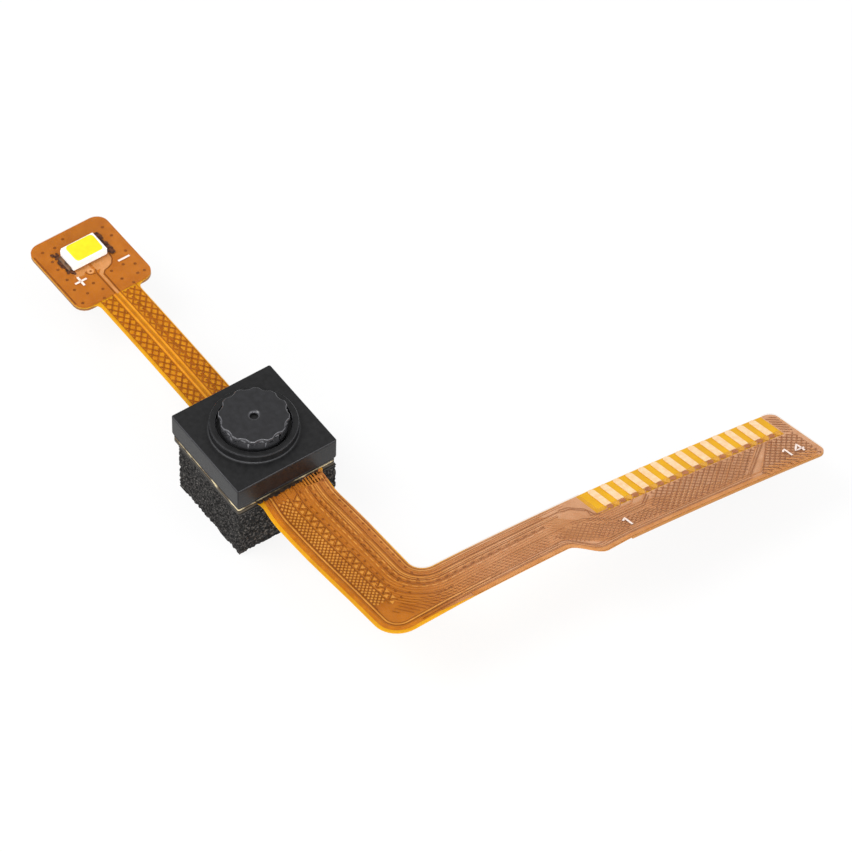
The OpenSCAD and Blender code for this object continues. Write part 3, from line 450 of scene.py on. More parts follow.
class Sheet:
    """Faces laid on the flat film and bent with it."""

    def __init__(self):
        self.points = []
        self.faces = []

    def face(self, corners, h):
        first = len(self.points)
        self.points += [form(u, v, h) for u, v in corners]
        self.faces.append(tuple(range(first, first + len(corners))))

    def ribbon(self, path, width, h, step=0.3):
        """A line of the given width along a path of flat points, cut into short stretches."""
        fine = shortened(path, step)
        first = len(self.points)
        for i, p in enumerate(fine):
            d = fine[min(i + 1, len(fine) - 1)] - fine[max(i - 1, 0)]
            side = Vector((-d.y, d.x)).normalized() * width / 2
            self.points += [form(*(p - side), h), form(*(p + side), h)]
        for k in range(first, first + 2 * len(fine) - 2, 2):
            self.faces.append((k, k + 2, k + 3, k + 1))

    def dashes(self, path, width, h, on, off, step=0.05):
        """A broken line: stretches of length on, with gaps of length off."""
        fine = shortened(path, step)
        count = max(1, round(on / step))
        for i in range(0, len(fine) - count, count + max(1, round(off / step))):
            self.ribbon(fine[i:i + count + 1], width, h)

    def disc(self, u, v, r, h, sides=10, squash=1.0):
        self.face([(u + r * squash * math.cos(2 * math.pi * i / sides),
                    v + r * math.sin(2 * math.pi * i / sides)) for i in range(sides)], h)

    def band(self, edge_a, edge_b, h, columns=8):
        """A filled band between two flat paths with the same number of points."""
        for a0, a1, b0, b1 in zip(edge_a, edge_a[1:], edge_b, edge_b[1:]):
            for i in range(columns):
                t0, t1 = i / columns, (i + 1) / columns
                self.face([between(a0, b0, t0), between(a1, b1, t0),
                           between(a1, b1, t1), between(a0, b0, t1)], h)

    def make(self, name, mat, slot):
        mesh = bpy.data.meshes.new(name)
        mesh.from_pydata([tuple(p) for p in self.points], [], self.faces)
        return add_piece(name, mesh, mat)


def between(p, q, t):
    return p[0] * (1 - t) + q[0] * t, p[1] * (1 - t) + q[1] * t


def spread(a, b, n):
    return [a + (b - a) * i / n for i in range(n + 1)]


def shortened(path, step):
    """The same path, with no stretch longer than step."""
    path = [Vector(p) for p in path]
    fine = [path[0]]
    for a, b in zip(path, path[1:]):
        cuts = max(1, math.ceil((b - a).length / step))
        fine += [a.lerp(b, (i + 1) / cuts) for i in range(cuts)]
    return fine


def evenly(path, n, step=0.05):
    """n + 1 points, evenly spaced along a path."""
    fine = shortened(path, step)
    return [tuple(fine[round(i * (len(fine) - 1) / n)]) for i in range(n + 1)]


def inside(p, outline):
    """Whether a flat point is inside a closed outline."""
    found = False
    for a, b in zip(outline, outline[1:] + outline[:1]):
        if (a[1] > p[1]) != (b[1] > p[1]) and p[0] < (b[0] - a[0]) * (p[1] - a[1]) / (b[1] - a[1]) + a[0]:
            found = not found
    return found


def hatch(sheet, outline, pitch, width, h, angles, step=0.08):
    """Parallel ribbons at each angle in degrees, kept inside an outline."""
    centre = Vector((sum(p[0] for p in outline), sum(p[1] for p in outline))) / len(outline)
    reach = max((Vector(p) - centre).length for p in outline)
    lines = math.ceil(reach / pitch)
    steps = math.ceil(2 * reach / step)
    for angle in angles:
        d = Vector((math.cos(math.radians(angle)), math.sin(math.radians(angle))))
        n = Vector((-d.y, d.x))
        for k in range(-lines, lines + 1):
            start = None
            for i in range(steps + 1):
                p = centre + n * (k * pitch) + d * (i * step - reach)
                hit = i < steps and inside(p, outline)
                if hit and start is None:
                    start = p
                if not hit and start is not None:
                    if (p - d * step - start).length > width:
                        sheet.ribbon([start, p - d * step], width, h)
                    start = None


def scattered(k):
    """Three numbers from -1 to 1 that depend on k alone."""
    return [math.modf(math.sin(k * f) * 4375.85)[0] for f in (12.9898, 78.233, 37.719)]


def ragged(sheet, low, high, h, pieces, seed):
    """Small overlapping patches over the flat box from low to high, each a little above the last."""
    for k in range(pieces):
        a, b, c = scattered(seed + k)
        u = (low[0] + high[0]) / 2 + a * (high[0] - low[0]) / 2
        v = (low[1] + high[1]) / 2 + b * (high[1] - low[1]) / 2
        sheet.disc(u, v, 0.07 + 0.05 * abs(c), h + HAIR / 2 * k / pieces, 7, 1.0 + abs(c))


# ---- Paths on the flat film ----

# Lines start this far from the lens axis, just beside the holder
BESIDE_HOLDER = HOLDER_HALF + 0.05


def run_path(v, start, last, cuts):
    return [(u, v) for u in spread(start, last, cuts)]


def arm_line(u, start, last, cuts):
    return [(u, v) for v in spread(start, last, cuts)]


def arm_edge(v):
    """The arm's outer edge: it widens slowly, and then steps out to the contact end."""
    slow = min(max((v - RUN_INNER) / (STEP_START - RUN_INNER), 0), 1)
    t = min(max((v - STEP_START) / STEP_L, 0), 1)
    outer = ARM_OUTER + ARM_WIDENING * slow
    return outer + (CONTACT_OUTER - outer) * (1 - math.cos(math.pi * t)) / 2


def arm_path(margin, start, last, cuts=80, narrowing=0.0):
    """Along the arm's outer edge, at a distance that narrows evenly, or stays the same."""
    return [(arm_edge(v) - margin + narrowing * i / cuts, v)
            for i, v in enumerate(spread(start, last, cuts))]


def outer_path(margin, last, first=BESIDE_HOLDER):
    """The flat path that keeps one distance from the film's outer edge."""
    arc = [(ARM_OUTER - OUTER_R + (OUTER_R - margin) * math.sin(a),
            -RUN_OUTER + OUTER_R - (OUTER_R - margin) * math.cos(a)) for a in spread(0, math.pi / 2, 10)]
    run = run_path(-RUN_OUTER + margin, first, ARM_OUTER - OUTER_R, 30)
    return run[:-1] + arc + arm_path(margin, OUTER_R - RUN_OUTER, last, 100)[1:]


def inner_path(margin, last, first=BESIDE_HOLDER):
    """The flat path that keeps one distance from the film's inner edge."""
    arc = [(ARM_INNER - INNER_R + (INNER_R + margin) * math.sin(a),
            RUN_INNER + INNER_R - (INNER_R + margin) * math.cos(a)) for a in spread(0, math.pi / 2, 10)]
    run = run_path(RUN_INNER - margin, first, CORNER_START, 30)
    return run[:-1] + arc + arm_line(ARM_INNER + margin, RUN_INNER + INNER_R, last, 60)[1:]


# ---- Copper on the run, the arm and the contact end ----

# Heights of the dressing between the copper and the cover film, and of what lies on the cover
HAIR = 0.001
POUR_H = BASE_TOP + 0.006
LINE_H = COPPER_TOP + 0.004
OVER_H = COPPER_TOP + 0.008
DARK_H = OVER_H + 2 * HAIR
INK_H = COVER_TOP + 0.006

# The outer edge strip without copper on the run, and the gaps at the other edges
CLEAR_EDGE = 0.46
OUTER_GAP, ARM_GAP, RUN_GAP, CORNER_GAP = 0.02, 0.04, 0.05, 0.08
# The copper turns the corner between this place on the run and this one on the arm
TURN_IN, TURN_OUT = 11.1, 6.95
# Along the arm, the edge strip fills with copper up to its full width between these places
FILL_START, FILL_END = -0.4, 5.0
# The contact end's copper starts here, and its sides are straight up to here
WIDE_START, WIDE_END = 16.0, 33.1
# Past the last contact, the copper reaches the inner edge again from here
INNER_START = 32.75
# How far bare film reaches in between the copper leads, past the contacts' roots
NECK_L = 0.5
# The pattern along the run repeats over this length, and its woven rows over half of it
REPEAT = 0.74
WEAVE = REPEAT / 2
WEAVE_START, WEAVE_V, WEAVE_ROWS, WEAVE_LOOPS = HOLDER_HALF + 0.9, -0.6, 5, 33
# The zigzag's first peak, its number of valleys, and the height of peaks and valleys
ZIGZAG_START, ZIGZAG_COUNT, ZIGZAG_HIGH, ZIGZAG_LOW = 5.03, 17, 0.24, -0.26
# The triangles in its valleys and under its peaks
WEDGE_HALF, WEDGE_L = 0.2, 0.3


def end_inset(v):
    """How far the copper is set in at v from both edges of the arm's rounded end."""
    return END_R + OUTER_GAP - math.sqrt(max(END_R ** 2 - max(v - ARM_END + END_R, 0) ** 2, 0))


def under_copper():
    """The copper under the traces, seen between them."""
    sheet = Sheet()
    low, start = -RUN_OUTER + CLEAR_EDGE, HOLDER_HALF - 0.25
    sheet.band(run_path(low, start, TURN_IN, 110),
               run_path(RUN_INNER - RUN_GAP, start, TURN_IN, 110), POUR_H)
    sheet.band(evenly(outer_path(CLEAR_EDGE, TURN_OUT, TURN_IN), 60),
               evenly(inner_path(CORNER_GAP, TURN_OUT, TURN_IN), 60), POUR_H)
    # The strip along the arm's outer edge
    sheet.band(arm_path(CLEAR_EDGE, FILL_START, FILL_END, narrowing=CLEAR_EDGE - OUTER_GAP),
               arm_path(CLEAR_EDGE, FILL_START, FILL_END), POUR_H, 1)
    sheet.band(arm_path(OUTER_GAP, FILL_END, WIDE_START),
               arm_path(CLEAR_EDGE, FILL_END, WIDE_START), POUR_H, 1)
    # The arm up to the contacts' opening, then beside it, past it, and the rounded end
    opening = OPENING_START - 0.25
    sheet.band(arm_path(CLEAR_EDGE, TURN_OUT, opening, 60),
               arm_line(ARM_INNER + ARM_GAP, TURN_OUT, opening, 60), POUR_H)
    root = OPENING_ROOT + NECK_L
    sheet.band(arm_line(CONTACT_OUTER - OUTER_GAP, WIDE_START, WIDE_END, 60),
               arm_line(root, WIDE_START, WIDE_END, 60), POUR_H)
    sheet.band(arm_line(root, INNER_START, WIDE_END, 6),
               arm_line(ARM_INNER + ARM_GAP, INNER_START, WIDE_END, 6), POUR_H)
    end = spread(WIDE_END, ARM_END - 0.03, 12)
    sheet.band([(CONTACT_OUTER - end_inset(v), v) for v in end],
               [(ARM_INNER + end_inset(v), v) for v in end], POUR_H)
    # A cover over the traces' first stretch, beside the holder
    start, last = HOLDER_HALF - 0.15, HOLDER_HALF + 0.95
    sheet.band(run_path(low, start, last, 24), run_path(RUN_INNER - 0.03, start, last, 24),
               LINE_H - 2 * HAIR)
    sheet.make("under_copper", POUR, "copper")


def rim_copper():
    """Orange copper along the film's outer edge."""
    sheet = Sheet()
    sheet.ribbon(arm_path(0.19, 4.6, 33.0), 0.36, OVER_H)
    sheet.ribbon(outer_path(0.42, 2.0), 0.3, POUR_H + 2 * HAIR)
    edge = CONTACT_OUTER - 0.1
    hatch(sheet, [(edge, 28.2), (edge, 33.2), (22.0, 33.2), (22.0, 28.8)], 0.34, 0.16, OVER_H, (50,))
    sheet.make("rim_copper", RIM, "copper")


def bright_lines():
    """Lighter copper between the gaps."""
    sheet = Sheet()
    sheet.ribbon(outer_path(0.82, 6.5), 0.12, OVER_H)
    sheet.ribbon(arm_path(0.6, 4.0, 27.4), 0.09, OVER_H)
    # Each line's distance from the inner edge, its end on the arm, and its width
    for margin, last, width in ((0.3, 15.0, 0.1), (0.98, 14.0, 0.1), (1.14, 14.0, 0.06)):
        sheet.ribbon(inner_path(margin, last), width, OVER_H)
    dash = 0.45
    for margin in (1.33, 1.85):
        sheet.dashes(inner_path(margin, 13.0), 0.08, OVER_H, dash, REPEAT - dash)
    for row in range(WEAVE_ROWS):
        for k in range(WEAVE_LOOPS):
            u = WEAVE_START + (k + row % 2 / 2) * WEAVE
            sheet.disc(u, WEAVE_V - row * WEAVE / 2, 0.09, OVER_H, 6, 1.25)
    for k in range(ZIGZAG_COUNT):
        # Pointing down in a valley, and then up under a peak
        for u, v, tip in ((ZIGZAG_START + (k + 0.5) * REPEAT, 0.18, -WEDGE_L),
                          (ZIGZAG_START + (k + 1) * REPEAT, -0.34, WEDGE_L)):
            sheet.face([(u - WEDGE_HALF, v), (u + WEDGE_HALF, v), (u, v + tip)], OVER_H)
    # Slanting lines beside the contacts
    for k in range(15):
        sheet.ribbon([(21.9, 20.6 + 0.5 * k), (19.6, 23.0 + 0.5 * k)], 0.05, LINE_H)
    sheet.make("bright_lines", LIGHT_LINE, "copper")


def woven_gaps(sheet):
    """The zigzags between the woven rows' light loops, and the lines on both sides of them."""
    for v in (-0.48, -1.47):
        sheet.ribbon([(HOLDER_HALF + 0.1, v), (17.6, v)], 0.07, DARK_H)
    for row in range(WEAVE_ROWS + 1):
        start = WEAVE_START + (row % 2 / 2 - 0.5) * WEAVE
        sheet.ribbon([(start + k * WEAVE / 2, WEAVE_V - (row - k % 2) * WEAVE / 2)
                      for k in range(2 * WEAVE_LOOPS)], 0.055, DARK_H)


def zigzag_gaps(sheet):
    """The zigzag along the run, with a dot in each valley and three rows of dots at its peaks."""
    for k in range(ZIGZAG_COUNT + 1):
        u = ZIGZAG_START + k * REPEAT
        for v, squash in ((2.45, 1.6), (0.52, 1.6), (1.25, 1.3)):
            sheet.disc(u, v, 0.09, DARK_H, 6, squash)
        if k < ZIGZAG_COUNT:
            valley = u + REPEAT / 2
            sheet.ribbon([(u, ZIGZAG_HIGH), (valley, ZIGZAG_LOW), (u + REPEAT, ZIGZAG_HIGH)], 0.07, DARK_H)
            sheet.disc(valley, ZIGZAG_LOW, 0.1, DARK_H, 6)


def opening_gaps(sheet):
    """Two pairs of lines that bend out past the contacts' opening, and a slanting pair beyond it."""
    for shift in (0.0, 0.26):
        sheet.ribbon([(18.75 + shift, 14.2), (18.95 + shift, 15.2), (20.25 + shift, 16.75),
                      (20.25 + shift, 19.4), (19.4 + shift, 20.4)], 0.08, DARK_H)
        sheet.ribbon([(17.0 + shift, 14.4), (17.15 + shift, 15.1), (18.1 + shift, 15.95),
                      (19.0, 16.12 - shift), (19.3, 16.5)], 0.07, DARK_H)
    for shift, width in ((0.0, 0.1), (-0.3, 0.05)):
        sheet.ribbon([(22.3, 27.4 + shift), (19.35, 30.7 + shift)], width, DARK_H)


def comb_gaps(sheet):
    """Short lines of five lengths, where the run comes out of the holder."""
    for k in range(13):
        v = 0.9 - 0.235 * k
        sheet.ribbon([(BESIDE_HOLDER, v), (HOLDER_HALF + 0.3 + 0.09 * (k * 2 % 5), v)], 0.04, DARK_H)


def gap_lines():
    """Dark gaps between copper areas."""
    sheet = Sheet()
    # Each line's distance from the inner edge, its end on the arm, and its width
    for margin, last, width in ((0.2, 14.8, 0.05), (0.75, 14.4, 0.08), (1.2, 14.0, 0.06),
                                (1.62, 12.5, 0.1), (2.57, 2.6, 0.07)):
        sheet.ribbon(inner_path(margin, last), width, DARK_H)
    dash = 0.3
    sheet.dashes(inner_path(1.48, 13), 0.1, DARK_H, dash, REPEAT - dash)
    woven_gaps(sheet)
    zigzag_gaps(sheet)
    for margin in (0.72, 0.93):
        sheet.ribbon(outer_path(margin, 12.2), 0.05, DARK_H)
    # Each line's distance from the arm's outer edge, and its start and end
    for margin, start, last in ((0.42, 0.5, 27.4), (0.7, 0.5, 27.0), (0.95, 12.0, 17.0)):
        sheet.ribbon(arm_path(margin, start, last), 0.06, DARK_H)
    sheet.ribbon([(18.9, 7.5), (18.9, 13.6)], 0.05, DARK_H)
    opening_gaps(sheet)
    comb_gaps(sheet)
    sheet.make("gap_lines", DARK_LINE, "copper")


# Outline of each area of hatched copper, with its pitch, its line width and its angles
SLANT_AREA = [(18.3, -0.9), (19.4, 0.2), (19.9, 3.0), (20.0, 11.6), (19.0, 12.2), (18.9, 3.0),
              (18.0, 0.2)]
STEP_AREA = [(19.3, 12.2), (21.3, 13.8), (21.9, 15.5), (22.1, 20.5), (20.8, 19.3), (20.7, 16.5),
             (19.2, 14.7)]
CONTACT_AREA = [(22.2, 20.0), (22.2, 27.0), (19.4, 30.2), (19.4, 20.8), (20.8, 19.8)]
END_AREA = [(22.9, 27.9), (22.9, 33.4), (19.4, 33.4), (19.4, 31.0)]
TIP_AREA = [(19.3, 32.8), (19.3, 33.6), (16.8, 33.6), (16.8, 32.8)]
HATCHED = (
    (SLANT_AREA, 0.3, 0.06, (35,)),
    (STEP_AREA, 0.3, 0.07, (40, -50)),
    (CONTACT_AREA, 0.36, 0.08, (46, -46)),
    (END_AREA, 0.36, 0.09, (50, -40)),
    (TIP_AREA, 0.3, 0.08, (48,)),
)


def ground_mesh():
    """Dark lines across the ground copper: a faint slant on the arm, and lattices past its step."""
    sheet = Sheet()
    for outline, pitch, width, angles in HATCHED:
        hatch(sheet, outline, pitch, width, LINE_H, angles)
    mesh = sheet.make("ground_mesh", DARK_LINE, "copper")
    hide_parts("ground_copper")


def contact_roots():
    """The contacts' roots: bare necks of film, and blobs over the leads."""
    necks, blobs = Sheet(), Sheet()
    neck = ((0, 0.3), (0, 0.8), (0.36, 0.74), (0.58, 0.55), (0.36, 0.36))
    for k in range(CONTACT_COUNT):
        v = CONTACT_FIRST + k * CONTACT_PITCH
        blobs.disc(OPENING_ROOT + 0.22, v, 0.24, LINE_H, squash=1.1)
        necks.face([(OPENING_ROOT + du, v + dv) for du, dv in neck], OVER_H)
    necks.make("bare_necks", NECK, "base_film")
    blobs.make("pad_roots", BLOB, "copper")


under_copper()
rim_copper()
bright_lines()
gap_lines()
ground_mesh()
contact_roots()


# ---- Copper on the tail ----

# The two areas of copper, on both sides of the two traces, and where the tail's lines begin and end
TAIL_AREAS = ((TAIL_SHIFT - TAIL_HALF + 0.28, -0.34), (0.36, TAIL_SHIFT + TAIL_HALF - 0.13))
TAIL_FIRST, TAIL_LAST = PADDLE_START - 0.1, -BESIDE_HOLDER
TAIL_AREA_FIRST = PADDLE_START + 0.1


def tail_copper():
    """Bright copper on both sides of the two traces."""
    sheet = Sheet()
    for low, high in TAIL_AREAS:
        sheet.band(run_path(low, TAIL_AREA_FIRST, -HOLDER_HALF, 40),
                   run_path(high, TAIL_AREA_FIRST, -HOLDER_HALF, 40), POUR_H, 1)
    sheet.make("tail_copper", TAIL_AMBER, "copper")


def tail_lattice():
    """The darker lattice over the bright copper, its borders, and a row of dashes."""
    sheet = Sheet()
    for low, high in TAIL_AREAS:
        outline = [(TAIL_AREA_FIRST, low), (TAIL_LAST, low), (TAIL_LAST, high), (TAIL_AREA_FIRST, high)]
        hatch(sheet, outline, 0.47, 0.13, LINE_H, (38, -38))
        for v in (low, high):
            sheet.ribbon([(TAIL_FIRST, v), (TAIL_LAST, v)], 0.06, LINE_H + 2 * HAIR)
    sheet.dashes([(PADDLE_START + 0.2, 0.83), (TAIL_LAST, 0.83)], 0.22, LINE_H + 2 * HAIR, 0.5, 0.2)
    sheet.make("tail_lattice", HATCH, "copper")


def tail_gaps():
    """Darker lines between and beside the two bright traces."""
    sheet = Sheet()
    for v, width in ((0.0, 0.2), (0.37, 0.14), (-0.3, 0.1)):
        sheet.ribbon([(TAIL_FIRST, v), (TAIL_LAST, v)], width, LINE_H)
    sheet.make("tail_gaps", TAIL_GAP, "copper")


tail_copper()
tail_lattice()
tail_gaps()


# ---- The LED paddle ----

PADDLE_INSET = 0.005
# The pale pads start here, under the LED's side
PAD_U = -21.75
RING_U, RING_V, RING_R, RING_HOLE_R = -20.98, -0.32, 0.26, 0.1
# Places of the dark vias, and their radius
VIAS = (
    (-24.2, 2.8), (-23.1, 2.9), (-21.2, 2.9), (-19.7, 2.75), (-18.75, 2.95), (-18.8, 2.4),
    (-20.15, 2.0), (-19.0, 1.15), (-20.1, 0.95), (-24.9, -0.25), (-24.5, -1.2), (-24.6, -2.2),
    (-23.4, -2.1), (-22.5, -2.2), (-21.25, -2.2), (-20.1, -2.3), (-19.25, -1.7),
    (-19.85, -0.8), (-18.95, -0.55), (-18.65, -2.5), (-18.15, -0.95), (-18.2, 1.65),
)
VIA_R = 0.13
# The middles of the printed marks
PLUS, MINUS = (-20.5, -1.47), (-20.6, 2.36)
FIRST_ONE, FOURTEEN_ONE, FOURTEEN_FOUR = (21.4, 17.4), (21.5, 31.4), (21.5, 32.3)
MARK_HALF, SIGN_STROKE, FIGURE_STROKE = 0.5, 0.18, 0.16
# How much larger than the phosphor the LED's window is, and how far it stands above the rim
WINDOW_GROWTH, WINDOW_RISE, WINDOW_R = (0.104, 0.156), 0.008, 0.3


def paddle_half(u):
    """Half the width of the copper on the paddle."""
    corner = PADDLE_R - PADDLE_INSET
    for centre, side in ((PADDLE_END + PADDLE_R, -1), (PADDLE_START - PADDLE_R, 1)):
        if side * (u - centre) > 0:
            return PADDLE_HALF - PADDLE_R + math.sqrt(max(corner ** 2 - (u - centre) ** 2, 0))
    return PADDLE_HALF - PADDLE_INSET


def paddle_copper():
    """The copper that fills the paddle up to its rounded corners."""
    sheet = Sheet()
    corner = PADDLE_R - PADDLE_INSET
    cuts = [PADDLE_END + PADDLE_R - corner * math.cos(a) for a in spread(0, math.pi / 2, 8)]
    cuts += [PADDLE_START - PADDLE_R + corner * math.sin(a) for a in spread(0, math.pi / 2, 8)]
    sheet.band([(u, PADDLE_SHIFT - paddle_half(u)) for u in cuts],
               [(u, PADDLE_SHIFT + paddle_half(u)) for u in cuts], LINE_H, 10)
    sheet.make("paddle_copper", PADDLE_POUR, "copper")


def pale_traces():
    """The pale loop from the LED's pad to the tail, and the pads that it joins."""
    sheet = Sheet()
    sheet.ribbon([(PAD_U, 1.62), (-21.2, 1.5), (-20.85, 1.2), (-20.7, 0.85), (-20.62, 0.5), (-20.3, 0.2)],
                 0.3, OVER_H + HAIR, 0.1)
    sheet.ribbon([(-20.4, 0.17), (-17.95, 0.16)], 0.2, OVER_H)
    sheet.face([(PAD_U, 1.55), (-21.0, 1.3), (-20.75, 0.6), (-20.8, 0.1), (PAD_U, 0.1)], OVER_H - HAIR)
    sheet.face([(PAD_U, -0.1), (-21.2, -0.1), (-21.15, -0.7), (-20.95, -0.9), (-20.95, -1.5),
                (PAD_U, -1.5)], OVER_H)
    sheet.make("pale_traces", PEACH, "copper")


def pale_ring():
    sheet = Sheet()
    sheet.disc(RING_U, RING_V, RING_R, OVER_H + HAIR, 16)
    sheet.make("pale_ring", RING, "copper")


def paddle_gaps():
    """Dark lines beside the pale traces, the ring's hole, the border line and the vias."""
    sheet = Sheet()
    last = PADDLE_START - 0.05
    for path, width in (
            ([(-21.7, 1.78), (-21.15, 1.68), (-20.75, 1.4), (-20.52, 0.95), (-20.45, 0.6), (-20.2, 0.38),
              (last, 0.36)], 0.11),
            ([(-20.95, 0.1), (-20.7, -0.02), (-20.3, -0.05), (last, -0.05)], 0.11),
            ([(-20.6, -0.1), (-20.66, -0.5), (-20.95, -0.68), (-21.15, -0.66)], 0.09)):
        sheet.ribbon(path, width, DARK_H, 0.1)
    sheet.disc(RING_U, RING_V, RING_HOLE_R, DARK_H + HAIR)
    border = PADDLE_SHIFT - PADDLE_HALF + 0.12
    sheet.ribbon([(PADDLE_END + 1.0, border), (PADDLE_START - 0.8, border)], 0.12, OVER_H)
    for u, v in VIAS:
        sheet.disc(u, v, VIA_R, DARK_H)
    sheet.make("paddle_gaps", VIA, "copper")


def upright_stroke(sheet, u, v):
    sheet.ribbon([(u, v - MARK_HALF), (u, v + MARK_HALF)], SIGN_STROKE, INK_H)


def one(sheet, u, v):
    """The figure 1: its foot is towards the film's outer edge."""
    sheet.ribbon([(u + MARK_HALF, v), (u - MARK_HALF, v), (u - 0.25, v - 0.28)], FIGURE_STROKE, INK_H)


def four(sheet, u, v):
    sheet.ribbon([(u + MARK_HALF, v + 0.2), (u - MARK_HALF, v + 0.2), (u + 0.15, v - 0.35),
                  (u + 0.15, v + 0.42)], FIGURE_STROKE, INK_H)


def marks():
    """White marks on the cover film: plus and minus beside the LED, 1 and 14 at the contacts."""
    sheet = Sheet()
    upright_stroke(sheet, *PLUS)
    upright_stroke(sheet, *MINUS)
    u, v = PLUS
    sheet.ribbon([(u - MARK_HALF, v), (u + MARK_HALF, v)], SIGN_STROKE, INK_H)
    one(sheet, *FIRST_ONE)
    one(sheet, *FOURTEEN_ONE)
    four(sheet, *FOURTEEN_FOUR)
    sheet.make("marks", INK, "led_body")


def rounded_block(name, low, high, r, mat):
    """A low block with rounded upright corners and a slightly chamfered top."""
    bm = bmesh.new()
    middle = (low + high) / 2
    outline = []
    for x, y, start in ((high.x - r, high.y - r, 0), (low.x + r, high.y - r, 90),
                        (low.x + r, low.y + r, 180), (high.x - r, low.y + r, 270)):
        outline += [(x + r * math.cos(math.radians(start + a)), y + r * math.sin(math.radians(start + a)))
                    for a in spread(0, 90, 6)]
    rings = []
    for z, share in ((low.z, 1.0), (high.z - r * 0.15, 1.0), (high.z, 0.95), (high.z, 0.5)):
        rings.append([bm.verts.new((middle.x + (x - middle.x) * share, middle.y + (y - middle.y) * share, z))
                      for x, y in outline])
    for a, b in zip(rings, rings[1:]):
        for i in range(len(outline)):
            j = (i + 1) % len(outline)
            bm.faces.new((a[i], a[j], b[j], b[i]))
    bm.faces.new(rings[-1])
    bm.faces.new(rings[0][::-1])
    mesh = bpy.data.meshes.new(name)
    bm.to_mesh(mesh)
    bm.free()
    return add_piece(name, mesh, mat)


def led_window():
    """The LED's yellow window, level with the rim of its cup."""
    low, high = (Vector(c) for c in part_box("led_phosphor"))
    grow = Vector((*WINDOW_GROWTH, 0)) * MM
    high.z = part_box("led_housing")[1].z + WINDOW_RISE * MM
    window = rounded_block("led_window", low - grow, high + grow, WINDOW_R * MM, YELLOW)
    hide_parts("led_phosphor")


def flux():
    """Ragged dark flux at the LED's two ends."""
    sheet = Sheet()
    ragged(sheet, (-23.9, 1.7), (-21.5, 2.2), INK_H, 70, 1)
    ragged(sheet, (-23.9, -1.85), (-21.4, -1.35), INK_H, 60, 101)
    sheet.make("flux", FLUX, "solder")


paddle_copper()
pale_traces()
pale_ring()
paddle_gaps()
marks()
led_window()
flux()


# ---- Glue, dark patches at the holder's foot and softened edges ----

# Half the width of the holder's skirt, along which the glue shows
SKIRT = 4.13
BEAD_SIDES, BEAD_STEP = 8, 0.08
# Smallest and largest share of a bead's radius, and the share left at its two ends
BEAD_THIN, BEAD_THICK, BEAD_TIP = 0.12, 1.1, 0.2
# Widths in millimetres of the softened edges, which catch the light
SOFT_EDGES = {"lens_holder": 0.09, "lens_barrel": 0.1, "led_housing": 0.08}
SOFT_EDGE_CUTS = 3
WELD_DISTANCE = 0.0005
# Angles in degrees: triangles that differ by less are one face, and a sharp edge turns by more
FLAT_ANGLE, SHARP_ANGLE = 1, 35


def bead(name, path, radius, seed):
    """A lumpy bead of glue along a path in space, in millimetres."""
    fine = shortened(path, BEAD_STEP)
    last = len(fine) - 1
    points, faces = [], []
    for i, p in enumerate(fine):
        d = (fine[min(i + 1, last)] - fine[max(i - 1, 0)]).normalized()
        side = d.cross(Vector((0, 0, 1))).normalized()
        up = side.cross(d)
        swell = 0.35 + 1.4 * noise.noise(p * 1.1 + Vector((seed, 0, 0))) + 0.4 * noise.noise(p * 6.0)
        r = radius * min(max(swell, BEAD_THIN), BEAD_THICK)
        if i in (0, last):
            r *= BEAD_TIP
        points += [(p + (side * math.cos(t) + up * math.sin(t)) * r) * MM
                   for t in spread(0, 2 * math.pi, BEAD_SIDES)[:-1]]
    for a in range(0, last * BEAD_SIDES, BEAD_SIDES):
        b = a + BEAD_SIDES
        for j in range(BEAD_SIDES):
            k = (j + 1) % BEAD_SIDES
            faces.append((a + j, a + k, b + k, b + j))
    faces.append(tuple(range(BEAD_SIDES))[::-1])
    faces.append(tuple(last * BEAD_SIDES + j for j in range(BEAD_SIDES)))
    mesh = bpy.data.meshes.new(name)
    mesh.from_pydata([tuple(p) for p in points], [], faces)
    for face in mesh.polygons:
        face.use_smooth = True
    add_piece(name, mesh, GLUE)


def glue_lines():
    """Glue along the holder's two near sides, with a gap before the far corner."""
    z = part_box("holder_glue")[0].z / MM
    bead("glue_line", [(-4.0, -SKIRT, z), (3.9, -SKIRT, z), (SKIRT, -3.9, z), (SKIRT, -2.7, z)], 0.09, 3.0)
    bead("glue_line_far", [(SKIRT, 3.1, z), (SKIRT, 3.9, z)], 0.08, 5.0)


def dark_foot_patches():
    """Ragged dark patches on the film, along the holder's foot."""
    sheet = Sheet()
    ragged(sheet, (HOLDER_HALF - 0.08, -2.6), (HOLDER_HALF + 0.08, 2.7), INK_H, 130, 301)
    sheet.make("dark_foot_patches", FOOT_DARK, "glue")


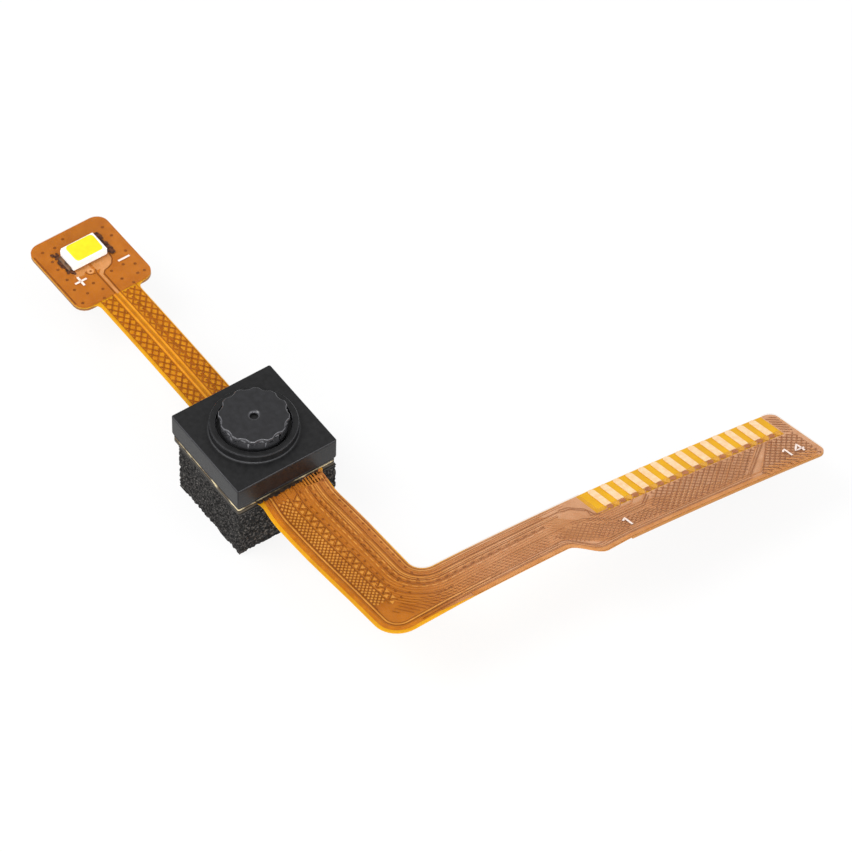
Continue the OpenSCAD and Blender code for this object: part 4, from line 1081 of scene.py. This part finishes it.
def soften(obj, width):
    """Round a solid's sharp edges: its triangles are first joined into whole faces."""
    weld = obj.modifiers.new("weld", "WELD")
    weld.merge_threshold = WELD_DISTANCE * MM
    whole = obj.modifiers.new("whole_faces", "DECIMATE")
    whole.decimate_type = "DISSOLVE"
    whole.angle_limit = math.radians(FLAT_ANGLE)
    soft = obj.modifiers.new("soft_edges", "BEVEL")
    soft.use_clamp_overlap = False
    soft.width = width * MM
    soft.segments = SOFT_EDGE_CUTS
    soft.limit_method = "ANGLE"
    soft.angle_limit = math.radians(SHARP_ANGLE)
    obj.modifiers.new("even_shading", "WEIGHTED_NORMAL")


glue_lines()
dark_foot_patches()
for node, width in SOFT_EDGES.items():
    soften(NODES[node], width)


# ---- Foam ----

# All in metres: the surface's squares, the spacing of the cut cells, and the depth of their pits
FOAM_GRAIN, FOAM_QUICK_GRAIN = 0.00012, 0.0003
CELL, PIT_DEPTH = 0.00030, 0.00028
# A pit reaches this far from its middle, as a share of the cell
PIT_REACH = 0.6
# A square's corners, anticlockwise as seen from outside the high side of the third axis
SQUARE = ((0, 0), (1, 0), (1, 1), (0, 1))


def gridded_box(low, high, grain):
    """A box whose six sides are cut into squares of about the size of grain."""
    size = high - low
    counts = [max(2, round(s / grain)) for s in size]
    bm = bmesh.new()
    found = {}

    def point(place):
        if place not in found:
            found[place] = bm.verts.new([low[k] + size[k] * place[k] / counts[k] for k in range(3)])
        return found[place]

    for axis in range(3):
        a, b = (axis + 1) % 3, (axis + 2) % 3
        for side in (0, counts[axis]):
            # The low side's corners run the other way round
            corners = SQUARE if side else [(dj, di) for di, dj in SQUARE]
            for i in range(counts[a]):
                for j in range(counts[b]):
                    face = []
                    for di, dj in corners:
                        place = [side] * 3
                        place[a], place[b] = i + di, j + dj
                        face.append(point(tuple(place)))
                    bm.faces.new(face)
    return bm


def make_foam():
    """The foam pad, with a pit in its surface wherever it cuts a cell open."""
    low, high = (Vector(c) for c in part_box("foam_pad"))
    bm = gridded_box(low, high, FOAM_GRAIN)
    bm.normal_update()
    for v in bm.verts:
        distances, _ = noise.voronoi(v.co / CELL)
        v.co -= v.normal * max(0.0, PIT_REACH - distances[0]) * PIT_DEPTH
    mesh = bpy.data.meshes.new("foam")
    bm.to_mesh(mesh)
    bm.free()
    foam = add_piece("foam", mesh, FOAM_SKIN)
    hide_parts("foam_pad")


make_foam()
